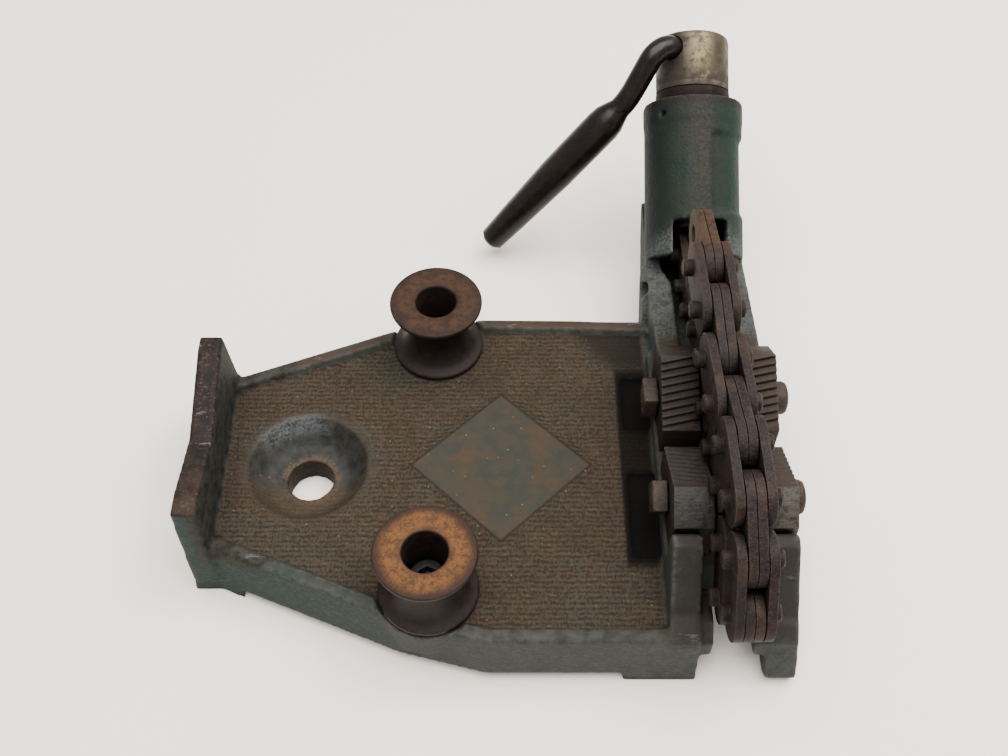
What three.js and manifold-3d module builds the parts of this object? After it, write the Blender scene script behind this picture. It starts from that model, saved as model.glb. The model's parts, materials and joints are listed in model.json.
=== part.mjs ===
// Bench chain pipe vise with a pipe rest, bender rollers, toothed jaws, a folded chain and a screw tower.
// Lengths in millimetres. While it is built, X = 0 is the plane of the chain, Y = 0 the axis of the
// pipe and Z = 0 the bench. The group is moved at the end, so that the bottom centre of its box is
// the origin.
import * as THREE from "three";
import { mergeVertices } from "three/addons/utils/BufferGeometryUtils.js";
import Module from "manifold-3d";

const wasm = await Module();
wasm.setup();

// ---- driving dimensions ----
const GAP = 0.3; // between pieces that touch
const PAST = 1; // how far a cutter runs past the face it opens
const MERGE_DISTANCE = 0.0001;
const LEAST_MITRE_SHARE = 0.5;

// base casting
const OUTLINE = [
  [-246, -49.7],
  [-232.8, -49.7],
  [-147.6, -84.8],
  [-117, -92.6],
  [-108, -94.8],
  [-14.5, -94.8],
  [-14.5, -51],
  [29.5, -51],
  [29.5, 66],
  [22, 92],
  [-29.5, 93.8],
  [-111.5, 95.4],
  [-157.1, 88.2],
  [-235.5, 57],
  [-246, 57],
];
const DRAFT = 4.6; // lean of the side faces over the full height
const RIM_TOP = 31;
const FLOOR_TOP = 27;
const FLOOR_BOTTOM = 20;
const RIM_WIDTH = 6.5;
const SKIRT_WIDTH = 8;
const BLOCK_LEFT = -28.5;
const BLOCK_RIGHT = 29.5;
const BLOCK_FRONT = -51;
const BLOCK_BACK = 66;
const SKIRT_LIFT = 5; // the skirt stands this far above the bench between its feet
const LIFTED = [-222, -47.6];
const RIGHT_SIDE = [
  [29.5, 0],
  [26.6, 60],
  [26.6, 75],
  [45, 75],
  [45, -2],
  [29.5, -2],
];

// pipe rest at the left end
const REST_OUTER = -245;
const REST_INNER = -234;
const REST_FACE = [
  [-49.2, 8],
  [-46.4, 63],
  [-37, 63],
  [-4.5, 56.2],
  [0.5, 56.2],
  [39.5, 68],
  [49, 68],
  [55.4, 31],
  [56, 8],
];

// bench bolt
const BOLT_X = -194.5;
const BOLT_Y = 2;
const BOLT_HOLE_RADIUS = 11;
const DISH_RADIUS = 29;
const DISH_SEAT_RADIUS = 17; // flat ring round the hole, where the dish starts to rise
const DISH_BOTTOM = 15;
const DISH_WALL = 5;
const BOLT_BOSS_RADIUS = 19;

// bare pad
const PAD_X = -102;
const PAD_Y = 2;
const PAD_HALF_X = 44;
const PAD_HALF_Y = 42.6;
const PAD_CORNER = 5;
const PAD_RISE = 1.4;

// pockets beside the jaw nuts
const POCKET_FLOOR = 23.5;
const POCKETS = [
  [-42, -28.6, 23, 55],
  [-42, -28.6, -47.5, -2],
];

// bender rollers
const ROLLER_X = -134;
const ROLLER_Y = { rear: 75, front: -64 };
const ROLLER_BOTTOM = 28.4;
const ROLLER_TOP = 63.4;
const FLANGE_RADIUS = 22.7;
const WAIST_RADIUS = 15;
const ROLLER_BORE = 9.8;
const ROLLER_WEB = 5.5;
const FLANGE_EDGE = 2.4;
const ROLLER_BOSS_RADIUS = 23.6;
const ROLLER_BOSS_TOP = 28;
const ROLLER_BOSS_BOTTOM = 12;
const ROLLER_SHANK = 5;
const ROLLER_HEAD = 8.4;
const ROLLER_HEAD_HEIGHT = 8;
const SOCKET_RADIUS = 4.4;
const SOCKET_DEPTH = 4.5;
const ROLLER_NUT_RADIUS = 9.2;
const ROLLER_NUT_HEIGHT = 7;
const ROLLER_STUD_END = 3.5;
const ROLLER_NUT_ROOM = 10.4;
const WAIST_CURVE_SHARE = 0.97;

// jaws
const JAW_INNER = 9.5;
const JAW_OUTER = 27;
const JAW_SEAT = 36;
const JAW_TOE = [4.5, 53.5];
const JAW_RIDGE = [36, 69.5];
const JAW_HEEL = [50.4, 58.8];
const TEETH = 9;
const TOOTH_PITCH = 3.7;
const TOOTH_DEPTH = 1.3;
const TOOTH_START = 1.6;
const TOOTH_RAMP_SHARE = 1.3; // long side of a groove, as a share of its depth
const TOOTH_CUTTER_SHARE = 1.4; // length of a groove's cutter, as a share of a jaw's width
const TOOTH_SLANT = 3.6; // run of a tooth along the face, over the width of a jaw
const JAW_BOLT_Y = 27.7;
const JAW_BOLT_Z = 47.5;
const JAW_BOLT_RADIUS = 5;
const JAW_HEAD_RADIUS = 8;
const JAW_HEAD_HEIGHT = 7;
const JAW_NUT_HALF = 7;
const JAW_NUT_HEIGHT = 7.2;
const JAW_NUT_TURN = { rear: 0, front: 27 }; // degrees
const WEB_HALF = 9.1;
const WEB_FACE = [
  [-50, 30],
  [-50, 44],
  [-41, 54.4],
  [-20, 54.4],
  [-12, 46],
  [12, 46],
  [20, 54.4],
  [41, 54.4],
  [48, 46],
  [56, 30],
];

// lugs that hold the chain pins
const LUG_LEFT = [-28.5, -15];
const LUG_RIGHT = [15, 29.5];
const LUG_HEAD = [
  [-50, 34],
  [-50.8, 34],
  [-50.8, 51.5],
  [-51.8, 57],
  [-55, 60],
  [-59.5, 59.6],
  [-64, 54],
  [-74.6, 39.6],
  [-78.7, 33],
];
const LEFT_FOOT = [
  [-88, 31],
  [-90.2, 30],
  [-94.8, 0],
  [-50, 0],
];
const RIGHT_FOOT = [
  [-90, 20],
  [-96, 5],
  [-91, 0],
  [-50, 0],
];
const LEDGE_HALF = 9.2; // half of the slot between the ledges
const LEDGE_FACE = [
  [-88.6, 13],
  [-88.6, 24],
  [-82, 31.4],
  [-66, 31.4],
  [-60, 22],
  [-60, 13],
];

// arm between the jaws and the tower
const ARM_HALF = 25.5;
const ARM_SLOT_HALF = 13.8;
const ARM_SLOT_FLOOR = 26.5;
const ARM_SLOT_FRONT = 57;
const ARM_SLOT_BACK = 141;
const ARM_FACE = [
  [50, 0],
  [50, 35],
  [50.8, 35],
  [50.8, 44],
  [58, 49.6],
  [65, 49],
  [127, 42],
  [158, 47],
  [163, 44],
  [152, 30],
  [132, 14],
  [108, 5],
  [92, 0],
];
const ARM_HOLE_Y = 106;
const ARM_HOLE_Z = 36.5;
const ARM_HOLE_RADIUS = 4.3;
const RIB_FACE = [
  [88, 20],
  [88, 30.6],
  [108, 42],
  [118, 42],
  [118, 34],
  [100, 12],
];
const RIB_OUTER = -28.6;
const HOLLOW_TOP = 18.5;
const HOLLOW_HALF = 18;
const HOLLOW_BACK = 84;

// tower, round an axis in the plane X = 0
const TOWER_BASE = [0, 170.5, 73.7];
const TOWER_SLOPE = 34; // degrees above the bench
const TUBE_RADIUS = 25.75;
const TUBE_FRONT = -58;
const TUBE_END = 24.4;
const TUBE_BORE = 18.2;
const TUBE_NECK = 15.9;
const TUBE_NECK_START = 8;
const COLLAR_RADIUS = 26.2;
const COLLAR_START = 12;
const WAIST_CUT_RADIUS = 24.2;
const WAIST_CUT = [-36, 5];
const MOUTH_END = -40; // end of the slot in the tube's upper side
const OIL_HOLE_RADIUS = 1.8;
const OIL_HOLE_AT = 16;
const WASHER = [24.7, 31];
const WASHER_RADIUS = 19.4;

// screw and crank
const NUT_RADIUS = 19.35;
const NUT_START = 31.3;
const NUT_END = 60.6;
const NUT_EDGE = 3.2;
const NUT_EDGE_SHARE = 0.3;
const SLEEVE_RADIUS = 15.5;
const SLEEVE_START = -10;
const NUT_BORE = 12.4;
const NUT_BORE_END = 44;
const SCREW_RADIUS = 12;
const SCREW_START = -41.5;
const SCREW_END = 28;
const TONGUE_END = -34;
const EYE_RADIUS = 11;
const CROSS_AT = 52;
const CROSS_RADIUS = 6.4;
const CROSS_TURN = 42; // degrees from the top of the crank nut towards -X

// handle
const BAR_RADIUS = 6;
const BAR_TAIL = 25;
const BAR_REACH = 22.6;
const BEND_RADIUS = 7;
const NECK_END = [-35.2, 188, 94.4];
const GRIP_TIP = [-109.5, 164.5, 10.4];
const GRIP_RADIUS = 9.5;
const GRIP_TIP_RADIUS = 6.6;
const GRIP_SHOULDER = 7;
const GRIP_FULL_SHARE = 0.45; // of the grip's length, from where it tapers
const NECK_NOSE_SHARES = [0.7, 0.8];
const TIP_ROUND_SHARE = 0.8;
const TIP_EDGE_SHARES = [0.72, 0.3];

// chain
const CHAIN_PITCH = 24.4;
const PLATE_RADIUS = 11.75;
const PLATE_THICKNESS = 4.05;
const PLATE_GAP = 0.4;
const PIN_RADIUS = 4;
const PIN_HALF = 12.8;
const PIN_CHAMFER = 0.9;
const PIN_CLEARANCE = 0.35;
const SEAM_DEPTH = 0.7;
const CHAIN_ANCHOR = -55.2; // along the tower's axis
const LINK_ANGLES = [
  175, 160, 152.5, 160.2, 200.6, 174.6, 163.6, 211, 227.5, 132, 55, 35, 9, -10, -1, 13, 3, -8,
]; // degrees above the direction +Y
const LINK_TURNS = [0, 0, 0, 0, 0, 0, 0, 0, 0, 0.8, 1.6, 2.2, 2.2, 2.2, 2.2, 2.2, 2.2, 2.2];

// facets
const ROUND = 32;
const FINE_ROUND = 40;
const SMALL_ROUND = 16;
const PIN_ROUND = 12;
const PLATE_ROUND = 9;

// ---- helpers ----
const radians = THREE.MathUtils.degToRad;
const Y_DIR = new THREE.Vector3(0, 1, 0);

function solidOf(geometry) {
  const plain = geometry.index ? geometry.toNonIndexed() : geometry.clone();
  plain.deleteAttribute("normal");
  plain.deleteAttribute("uv");
  const merged = mergeVertices(plain, MERGE_DISTANCE);
  return new wasm.Manifold(
    new wasm.Mesh({
      numProp: 3,
      vertProperties: new Float32Array(merged.attributes.position.array),
      triVerts: new Uint32Array(merged.index.array),
    }),
  );
}

function geometryOf(solid) {
  const mesh = solid.getMesh();
  const geometry = new THREE.BufferGeometry();
  geometry.setAttribute("position", new THREE.BufferAttribute(mesh.vertProperties, 3));
  geometry.setIndex(new THREE.BufferAttribute(mesh.triVerts, 1));
  const flat = geometry.toNonIndexed();
  flat.computeVertexNormals();
  return flat;
}

function join(...solids) {
  return solids.reduce((a, b) => a.add(b));
}

function cut(solid, ...cutters) {
  return cutters.reduce((a, b) => a.subtract(b), solid);
}

// The points of a polygon, anticlockwise.
function turned(points) {
  const list = points.map(([u, v]) => new THREE.Vector2(u, v));
  return THREE.ShapeUtils.isClockWise(list) ? list.reverse() : list;
}

// A polygon in Y and Z, carried from x0 to x1.
function prism(points, x0, x1) {
  const shape = new THREE.Shape(turned(points));
  const g = new THREE.ExtrudeGeometry(shape, { depth: x1 - x0, bevelEnabled: false });
  const frame = new THREE.Matrix4().makeBasis(
    new THREE.Vector3(0, 1, 0),
    new THREE.Vector3(0, 0, 1),
    new THREE.Vector3(1, 0, 0),
  );
  return solidOf(g.applyMatrix4(frame).translate(x0, 0, 0));
}

// A polygon in X and Y between two heights, with another outline of as many points on top.
function frustum(bottom, top, z0, z1) {
  const low = turned(bottom);
  const high = turned(top);
  const faces = THREE.ShapeUtils.triangulateShape(low, []);
  const positions = [];
  const index = [];
  const count = low.length;
  low.forEach((p) => positions.push(p.x, p.y, z0));
  high.forEach((p) => positions.push(p.x, p.y, z1));
  faces.forEach(([a, b, c]) => {
    index.push(a, c, b);
    index.push(a + count, b + count, c + count);
  });
  low.forEach((_, i) => {
    const j = (i + 1) % count;
    index.push(i, j, j + count);
    index.push(i, j + count, i + count);
  });
  const g = new THREE.BufferGeometry();
  g.setAttribute("position", new THREE.Float32BufferAttribute(positions, 3));
  g.setIndex(index);
  return solidOf(g);
}

function slab(points, z0, z1) {
  return frustum(points, points, z0, z1);
}

function box(x0, x1, y0, y1, z0, z1) {
  const corners = [
    [x0, y0],
    [x1, y0],
    [x1, y1],
    [x0, y1],
  ];
  return slab(corners, z0, z1);
}

// An outline moved inwards by a distance.
function inset(points, distance) {
  const list = turned(points);
  const count = list.length;
  return list.map((p, i) => {
    const before = p.clone().sub(list[(i + count - 1) % count]).normalize();
    const after = list[(i + 1) % count].clone().sub(p).normalize();
    const n1 = new THREE.Vector2(-before.y, before.x);
    const n2 = new THREE.Vector2(-after.y, after.x);
    const mitre = n1.clone().add(n2).normalize();
    const reach = distance / Math.max(mitre.dot(n1), LEAST_MITRE_SHARE);
    return [p.x + mitre.x * reach, p.y + mitre.y * reach];
  });
}

// A profile of radius and height, turned round Z and then placed.
function lathe(profile, segments) {
  const points = profile.map(([r, z]) => new THREE.Vector2(r, z));
  const g = new THREE.LatheGeometry(points, segments);
  return g.rotateX(Math.PI / 2);
}

function drum(radius, z0, z1, segments) {
  return lathe(
    [
      [0, z0],
      [radius, z0],
      [radius, z1],
      [0, z1],
    ],
    segments,
  );
}

function upright(geometry, x, y) {
  return solidOf(geometry.translate(x, y, 0));
}

// A drum whose axis runs along X.
function crossDrum(radius, x0, x1, y, z, segments) {
  return solidOf(drum(radius, x0, x1, segments).rotateY(Math.PI / 2).translate(0, y, z));
}

const SLOPE = radians(TOWER_SLOPE);
const AXIS = new THREE.Vector3(0, Math.cos(SLOPE), Math.sin(SLOPE));
const UP = new THREE.Vector3(0, -Math.sin(SLOPE), Math.cos(SLOPE));
const BASE = new THREE.Vector3(...TOWER_BASE);
const TOWER_FRAME = new THREE.Matrix4()
  .makeBasis(new THREE.Vector3(1, 0, 0), UP.clone().negate(), AXIS)
  .setPosition(BASE);

function onAxis(s) {
  return BASE.clone().addScaledVector(AXIS, s);
}

// A geometry built along Z, carried onto the tower's axis.
function leaning(geometry) {
  return solidOf(geometry.applyMatrix4(TOWER_FRAME));
}

const group = new THREE.Group();
const materials = {
  casting: { color: 0x55635a, metalness: 0.5, roughness: 0.75 },
  steel: { color: 0x6d6a62, metalness: 0.8, roughness: 0.5 },
  jaw: { color: 0x6f6356, metalness: 0.7, roughness: 0.6 },
  rust: { color: 0x8a4b2c, metalness: 0.3, roughness: 0.85 },
  chain: { color: 0x5a453b, metalness: 0.6, roughness: 0.65 },
  handle: { color: 0x3a302b, metalness: 0.6, roughness: 0.55 },
};

function place(name, solid, kind) {
  const material = new THREE.MeshStandardMaterial(materials[kind]);
  const mesh = new THREE.Mesh(geometryOf(solid), material);
  mesh.name = name;
  group.add(mesh);
}

// ---- body casting ----
function plate() {
  const top = inset(OUTLINE, DRAFT);
  const shell = frustum(OUTLINE, top, 0, RIM_TOP);
  const floorEdge = inset(OUTLINE, DRAFT + RIM_WIDTH);
  const recess = slab(floorEdge, FLOOR_TOP, RIM_TOP + PAST);
  const under = frustum(
    inset(OUTLINE, SKIRT_WIDTH),
    inset(OUTLINE, SKIRT_WIDTH + DRAFT),
    -PAST,
    FLOOR_BOTTOM,
  );
  const lift = box(...LIFTED, OUTLINE[5][1] - PAST, -OUTLINE[5][1] * 2, -PAST, SKIRT_LIFT);
  return cut(shell, recess, under, lift);
}

// The lean of the right side, cut from the block and the right lug.
function rightSide() {
  const reach = ARM_FACE[6][0];
  const g = new THREE.ExtrudeGeometry(new THREE.Shape(turned(RIGHT_SIDE)), {
    depth: reach * 2,
    bevelEnabled: false,
  });
  return solidOf(g.rotateX(Math.PI / 2).translate(0, reach, 0));
}

function padPoints() {
  const points = [];
  const steps = 4;
  const centre = [
    [PAD_HALF_X - PAD_CORNER, 0],
    [0, PAD_HALF_Y - PAD_CORNER],
    [PAD_CORNER - PAD_HALF_X, 0],
    [0, PAD_CORNER - PAD_HALF_Y],
  ];
  centre.forEach(([x, y], quarter) => {
    for (let i = 0; i <= steps; i++) {
      const a = ((i / steps - 1 / 2) * Math.PI) / 2 + (quarter * Math.PI) / 2;
      points.push([
        PAD_X + x + PAD_CORNER * Math.cos(a),
        PAD_Y + y + PAD_CORNER * Math.sin(a),
      ]);
    }
  });
  return points;
}

// The bowl round the bench bolt: a flat seat and a side that rises ever more steeply.
function dish() {
  const profile = [
    [0, DISH_BOTTOM],
    [DISH_SEAT_RADIUS, DISH_BOTTOM],
  ];
  const steps = 5;
  for (let i = 1; i <= steps; i++) {
    const t = i / steps;
    profile.push([
      DISH_SEAT_RADIUS + (DISH_RADIUS - DISH_SEAT_RADIUS) * t,
      DISH_BOTTOM + (FLOOR_TOP - DISH_BOTTOM) * (1 - Math.cos((t * Math.PI) / 2)),
    ]);
  }
  profile.push([DISH_RADIUS, RIM_TOP + PAST], [0, RIM_TOP + PAST]);
  return upright(lathe(profile, FINE_ROUND), BOLT_X, BOLT_Y);
}

function tube() {
  const outer = lathe(
    [
      [0, TUBE_FRONT],
      [TUBE_RADIUS, TUBE_FRONT],
      [TUBE_RADIUS, COLLAR_START],
      [COLLAR_RADIUS, COLLAR_START + COLLAR_RADIUS - TUBE_RADIUS],
      [COLLAR_RADIUS, TUBE_END - COLLAR_RADIUS + TUBE_RADIUS],
      [TUBE_RADIUS, TUBE_END],
      [0, TUBE_END],
    ],
    FINE_ROUND,
  );
  const [low, high] = WAIST_CUT;
  const wide = TUBE_RADIUS * 2;
  const ring = cut(
    solidOf(drum(COLLAR_RADIUS + PAST, low, high, FINE_ROUND)),
    solidOf(drum(WAIST_CUT_RADIUS, low - PAST, high + PAST, FINE_ROUND)),
    box(-wide, WAIST_CUT_RADIUS / 4, -wide, wide, low - wide, high + wide),
  );
  return cut(solidOf(outer), ring).transform(TOWER_FRAME.toArray());
}

function towerCutters() {
  const bore = leaning(drum(TUBE_BORE, TUBE_FRONT - TUBE_RADIUS, TUBE_NECK_START, ROUND));
  const neck = leaning(drum(TUBE_NECK, TUBE_NECK_START - PAST, TUBE_END + PAST, ROUND));
  const mouth = box(
    -ARM_SLOT_HALF,
    ARM_SLOT_HALF,
    -TUBE_RADIUS * 2,
    0,
    TUBE_FRONT - TUBE_RADIUS,
    MOUTH_END,
  ).transform(TOWER_FRAME.toArray());
  const oil = solidOf(
    drum(OIL_HOLE_RADIUS, 0, COLLAR_RADIUS + PAST, SMALL_ROUND)
      .rotateX(Math.PI / 2)
      .rotateZ(-Math.PI / 4)
      .translate(0, 0, OIL_HOLE_AT)
      .applyMatrix4(TOWER_FRAME),
  );
  return [bore, neck, mouth, oil];
}

function body() {
  const rest = prism(REST_FACE, REST_OUTER, REST_INNER);
  const dishShell = drum(DISH_RADIUS + DISH_WALL, DISH_BOTTOM - DISH_WALL, FLOOR_TOP - GAP, ROUND);
  const dishBoss = upright(dishShell, BOLT_X, BOLT_Y);
  const boltBoss = upright(drum(BOLT_BOSS_RADIUS, 0, DISH_BOTTOM, ROUND), BOLT_X, BOLT_Y);
  const pad = slab(padPoints(), FLOOR_TOP - PAST, FLOOR_TOP + PAD_RISE);
  const rollerDrum = (radius, z0, z1, segments) => (y) =>
    upright(drum(radius, z0, z1, segments), ROLLER_X, y);
  const ends = Object.values(ROLLER_Y);
  const bosses = ends.map(
    rollerDrum(ROLLER_BOSS_RADIUS, ROLLER_BOSS_BOTTOM, ROLLER_BOSS_TOP, ROUND),
  );
  const block = box(BLOCK_LEFT, BLOCK_RIGHT, BLOCK_FRONT, BLOCK_BACK, 0, JAW_SEAT);
  const web = prism(WEB_FACE, -WEB_HALF, WEB_HALF);
  const leftLug = prism([...LUG_HEAD, ...LEFT_FOOT], ...LUG_LEFT);
  const rightLug = prism([...LUG_HEAD, ...RIGHT_FOOT], ...LUG_RIGHT);
  const ledges = [
    prism(LEDGE_FACE, LUG_LEFT[0] + PAST, -LEDGE_HALF),
    prism(LEDGE_FACE, LEDGE_HALF, LUG_RIGHT[1] - PAST),
  ];
  const arm = prism(ARM_FACE, -ARM_HALF, ARM_HALF);
  const rib = prism(RIB_FACE, RIB_OUTER, PAST - ARM_HALF);

  let solid = join(plate(), rest, dishBoss, boltBoss, pad, ...bosses, block, web);
  solid = join(solid, leftLug, rightLug, ...ledges, arm, rib, tube());

  const hollowFront = BLOCK_FRONT + SKIRT_WIDTH;
  const hollow = box(-HOLLOW_HALF, HOLLOW_HALF, hollowFront, HOLLOW_BACK, -PAST, HOLLOW_TOP);
  const boltHole = upright(drum(BOLT_HOLE_RADIUS, -PAST, RIM_TOP, ROUND), BOLT_X, BOLT_Y);
  const rollerHoles = ends.map(rollerDrum(ROLLER_SHANK + GAP, -PAST, RIM_TOP, SMALL_ROUND));
  const rollerRoom = ends.map(
    rollerDrum(ROLLER_BOSS_RADIUS + GAP, ROLLER_BOSS_TOP, RIM_TOP + PAST, ROUND),
  );
  const nutRoom = ends.map(rollerDrum(ROLLER_NUT_ROOM, -PAST, ROLLER_BOSS_BOTTOM, ROUND));
  const pockets = POCKETS.map(([x0, x1, y0, y1]) =>
    box(x0, x1, y0, y1, POCKET_FLOOR, RIM_TOP + PAST),
  );
  const slotTop = RIM_TOP * 2;
  const slot = box(
    -ARM_SLOT_HALF,
    ARM_SLOT_HALF,
    ARM_SLOT_FRONT,
    ARM_SLOT_BACK,
    ARM_SLOT_FLOOR,
    slotTop,
  );
  const bolts = [-JAW_BOLT_Y, JAW_BOLT_Y].map((y) =>
    crossDrum(JAW_BOLT_RADIUS + GAP, -JAW_INNER, JAW_INNER, y, JAW_BOLT_Z, SMALL_ROUND),
  );
  const armHole = crossDrum(
    ARM_HOLE_RADIUS,
    RIB_OUTER - PAST,
    ARM_HALF + PAST,
    ARM_HOLE_Y,
    ARM_HOLE_Z,
    SMALL_ROUND,
  );
  solid = cut(solid, hollow, dish(), boltHole, ...rollerHoles, ...rollerRoom);
  solid = cut(solid, ...nutRoom, ...pockets);
  return cut(solid, rightSide(), slot, ...bolts, armHole, ...towerCutters());
}

// ---- rollers ----
function roller(y) {
  const height = ROLLER_TOP - ROLLER_BOTTOM;
  const middle = (ROLLER_TOP + ROLLER_BOTTOM) / 2;
  const half = height / 2 - FLANGE_EDGE;
  const steps = 8;
  const waist = [];
  for (let i = 0; i <= steps; i++) {
    const t = (2 * i) / steps - 1;
    const r = WAIST_RADIUS + (FLANGE_RADIUS - WAIST_RADIUS) * (1 - Math.sqrt(1 - t * t * WAIST_CURVE_SHARE));
    waist.push([Math.min(r, FLANGE_RADIUS), middle + t * half]);
  }
  const profile = [
    [ROLLER_SHANK + GAP, ROLLER_BOTTOM],
    [FLANGE_RADIUS - GAP, ROLLER_BOTTOM],
    [FLANGE_RADIUS, ROLLER_BOTTOM + FLANGE_EDGE / 2],
    ...waist,
    [FLANGE_RADIUS, ROLLER_TOP - FLANGE_EDGE / 2],
    [FLANGE_RADIUS - GAP, ROLLER_TOP],
    [ROLLER_BORE + PIN_CHAMFER, ROLLER_TOP],
    [ROLLER_BORE, ROLLER_TOP - PIN_CHAMFER],
    [ROLLER_BORE, ROLLER_BOTTOM + ROLLER_WEB],
    [ROLLER_SHANK + GAP, ROLLER_BOTTOM + ROLLER_WEB],
    [ROLLER_SHANK + GAP, ROLLER_BOTTOM],
  ];
  return upright(lathe(profile, ROUND), ROLLER_X, y);
}

function rollerBolt(y) {
  const seat = ROLLER_BOTTOM + ROLLER_WEB + GAP;
  const top = seat + ROLLER_HEAD_HEIGHT;
  const profile = [
    [0, ROLLER_STUD_END],
    [ROLLER_SHANK, ROLLER_STUD_END],
    [ROLLER_SHANK, seat],
    [ROLLER_HEAD, seat],
    [ROLLER_HEAD, top - PIN_CHAMFER],
    [ROLLER_HEAD - PIN_CHAMFER, top],
    [0, top],
  ];
  const socket = upright(drum(SOCKET_RADIUS, top - SOCKET_DEPTH, top + PAST, 6), ROLLER_X, y);
  return cut(upright(lathe(profile, SMALL_ROUND), ROLLER_X, y), socket);
}

function rollerNut(y) {
  const top = ROLLER_BOSS_BOTTOM - GAP;
  const nut = upright(drum(ROLLER_NUT_RADIUS, top - ROLLER_NUT_HEIGHT, top, 6), ROLLER_X, y);
  const hole = upright(drum(ROLLER_SHANK + GAP, 0, ROLLER_BOSS_BOTTOM, SMALL_ROUND), ROLLER_X, y);
  return cut(nut, hole);
}

// ---- jaws ----
function jaw(sideX, sideY) {
  const profile = [
    [JAW_TOE[0] * sideY, JAW_SEAT + GAP],
    [JAW_TOE[0] * sideY, JAW_TOE[1]],
    [JAW_RIDGE[0] * sideY, JAW_RIDGE[1]],
    [JAW_HEEL[0] * sideY, JAW_HEEL[1]],
    [JAW_HEEL[0] * sideY, JAW_SEAT + GAP],
  ];
  const x0 = sideX < 0 ? -JAW_OUTER : JAW_INNER;
  const x1 = sideX < 0 ? -JAW_INNER : JAW_OUTER;
  const block = prism(profile, x0, x1);
  const slope = Math.atan2(JAW_RIDGE[1] - JAW_TOE[1], JAW_RIDGE[0] - JAW_TOE[0]);
  const width = JAW_OUTER - JAW_INNER;
  const grooves = [];
  for (let i = 0; i < TEETH; i++) {
    const along = TOOTH_START + (i + 1 / 2) * TOOTH_PITCH;
    const section = [
      [-TOOTH_DEPTH * TOOTH_RAMP_SHARE, TOOTH_DEPTH / 4],
      [TOOTH_DEPTH / 2, TOOTH_DEPTH / 4],
      [0, -TOOTH_DEPTH],
    ];
    const groove = new THREE.ExtrudeGeometry(new THREE.Shape(turned(section)), {
      depth: width * TOOTH_CUTTER_SHARE,
      bevelEnabled: false,
    });
    const frame = new THREE.Matrix4().makeBasis(
      new THREE.Vector3(0, sideY * Math.cos(slope), Math.sin(slope)),
      new THREE.Vector3(0, -sideY * Math.sin(slope), Math.cos(slope)),
      new THREE.Vector3(sideY, 0, 0),
    );
    const lean = Math.atan2(TOOTH_SLANT, width) * sideY;
    groove.translate(0, 0, (-width * TOOTH_CUTTER_SHARE) / 2);
    groove.rotateY(lean);
    groove.translate(along, 0, 0);
    groove.applyMatrix4(frame);
    groove.translate((x0 + x1) / 2, JAW_TOE[0] * sideY, JAW_TOE[1]);
    grooves.push(solidOf(groove));
  }
  const boltY = sideY * JAW_BOLT_Y;
  const wide = JAW_BOLT_RADIUS + GAP;
  const hole = crossDrum(wide, x0 - PAST, x1 + PAST, boltY, JAW_BOLT_Z, SMALL_ROUND);
  return cut(block, hole, ...grooves);
}

function jawBolt(sideY) {
  const face = JAW_OUTER + GAP;
  const end = -(JAW_OUTER + JAW_NUT_HEIGHT + GAP * 2);
  const profile = [
    [0, end],
    [JAW_BOLT_RADIUS - PIN_CHAMFER, end],
    [JAW_BOLT_RADIUS, end + PIN_CHAMFER],
    [JAW_BOLT_RADIUS, face],
    [JAW_HEAD_RADIUS, face],
    [JAW_HEAD_RADIUS, face + JAW_HEAD_HEIGHT - PIN_CHAMFER * 2],
    [JAW_HEAD_RADIUS - PIN_CHAMFER * 2, face + JAW_HEAD_HEIGHT],
    [0, face + JAW_HEAD_HEIGHT],
  ];
  const g = lathe(profile, SMALL_ROUND);
  return solidOf(g.rotateY(Math.PI / 2).translate(0, sideY * JAW_BOLT_Y, JAW_BOLT_Z));
}

function jawNut(sideY, turn) {
  const h = JAW_NUT_HALF;
  const c = JAW_NUT_HALF - PIN_CHAMFER;
  const corners = [
    [h, c],
    [c, h],
    [-c, h],
    [-h, c],
    [-h, -c],
    [-c, -h],
    [c, -h],
    [h, -c],
  ];
  const a = radians(turn);
  const face = corners.map(([u, v]) => [
    sideY * JAW_BOLT_Y + u * Math.cos(a) - v * Math.sin(a),
    JAW_BOLT_Z + u * Math.sin(a) + v * Math.cos(a),
  ]);
  const inner = -(JAW_OUTER + GAP);
  const nut = prism(face, inner - JAW_NUT_HEIGHT, inner);
  const wide = JAW_BOLT_RADIUS + GAP;
  const hole = crossDrum(wide, inner * 2, 0, sideY * JAW_BOLT_Y, JAW_BOLT_Z, SMALL_ROUND);
  return cut(nut, hole);
}

// ---- screw, crank and handle ----
const TURN = radians(CROSS_TURN);
const CROSS_DIR = new THREE.Vector3(-Math.sin(TURN), 0, 0).addScaledVector(UP, Math.cos(TURN));
const CROSS_CENTRE = onAxis(CROSS_AT);

function alongCross(radius, from, to, segments) {
  const turn = new THREE.Quaternion().setFromUnitVectors(new THREE.Vector3(0, 0, 1), CROSS_DIR);
  const g = drum(radius, from, to, segments).applyQuaternion(turn);
  return g.translate(CROSS_CENTRE.x, CROSS_CENTRE.y, CROSS_CENTRE.z);
}

function crankNut() {
  const profile = [
    [0, SLEEVE_START],
    [SLEEVE_RADIUS, SLEEVE_START],
    [SLEEVE_RADIUS, NUT_START],
    [NUT_RADIUS, NUT_START],
    [NUT_RADIUS, NUT_END - NUT_EDGE],
    [NUT_RADIUS - NUT_EDGE * NUT_EDGE_SHARE, NUT_END - NUT_EDGE * NUT_EDGE_SHARE],
    [NUT_RADIUS - NUT_EDGE, NUT_END],
    [0, NUT_END],
  ];
  const bore = leaning(drum(NUT_BORE, SLEEVE_START - PAST, NUT_BORE_END, ROUND));
  const cross = solidOf(alongCross(CROSS_RADIUS, -NUT_RADIUS * 2, NUT_RADIUS * 2, SMALL_ROUND));
  return cut(leaning(lathe(profile, ROUND)), bore, cross);
}

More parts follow.
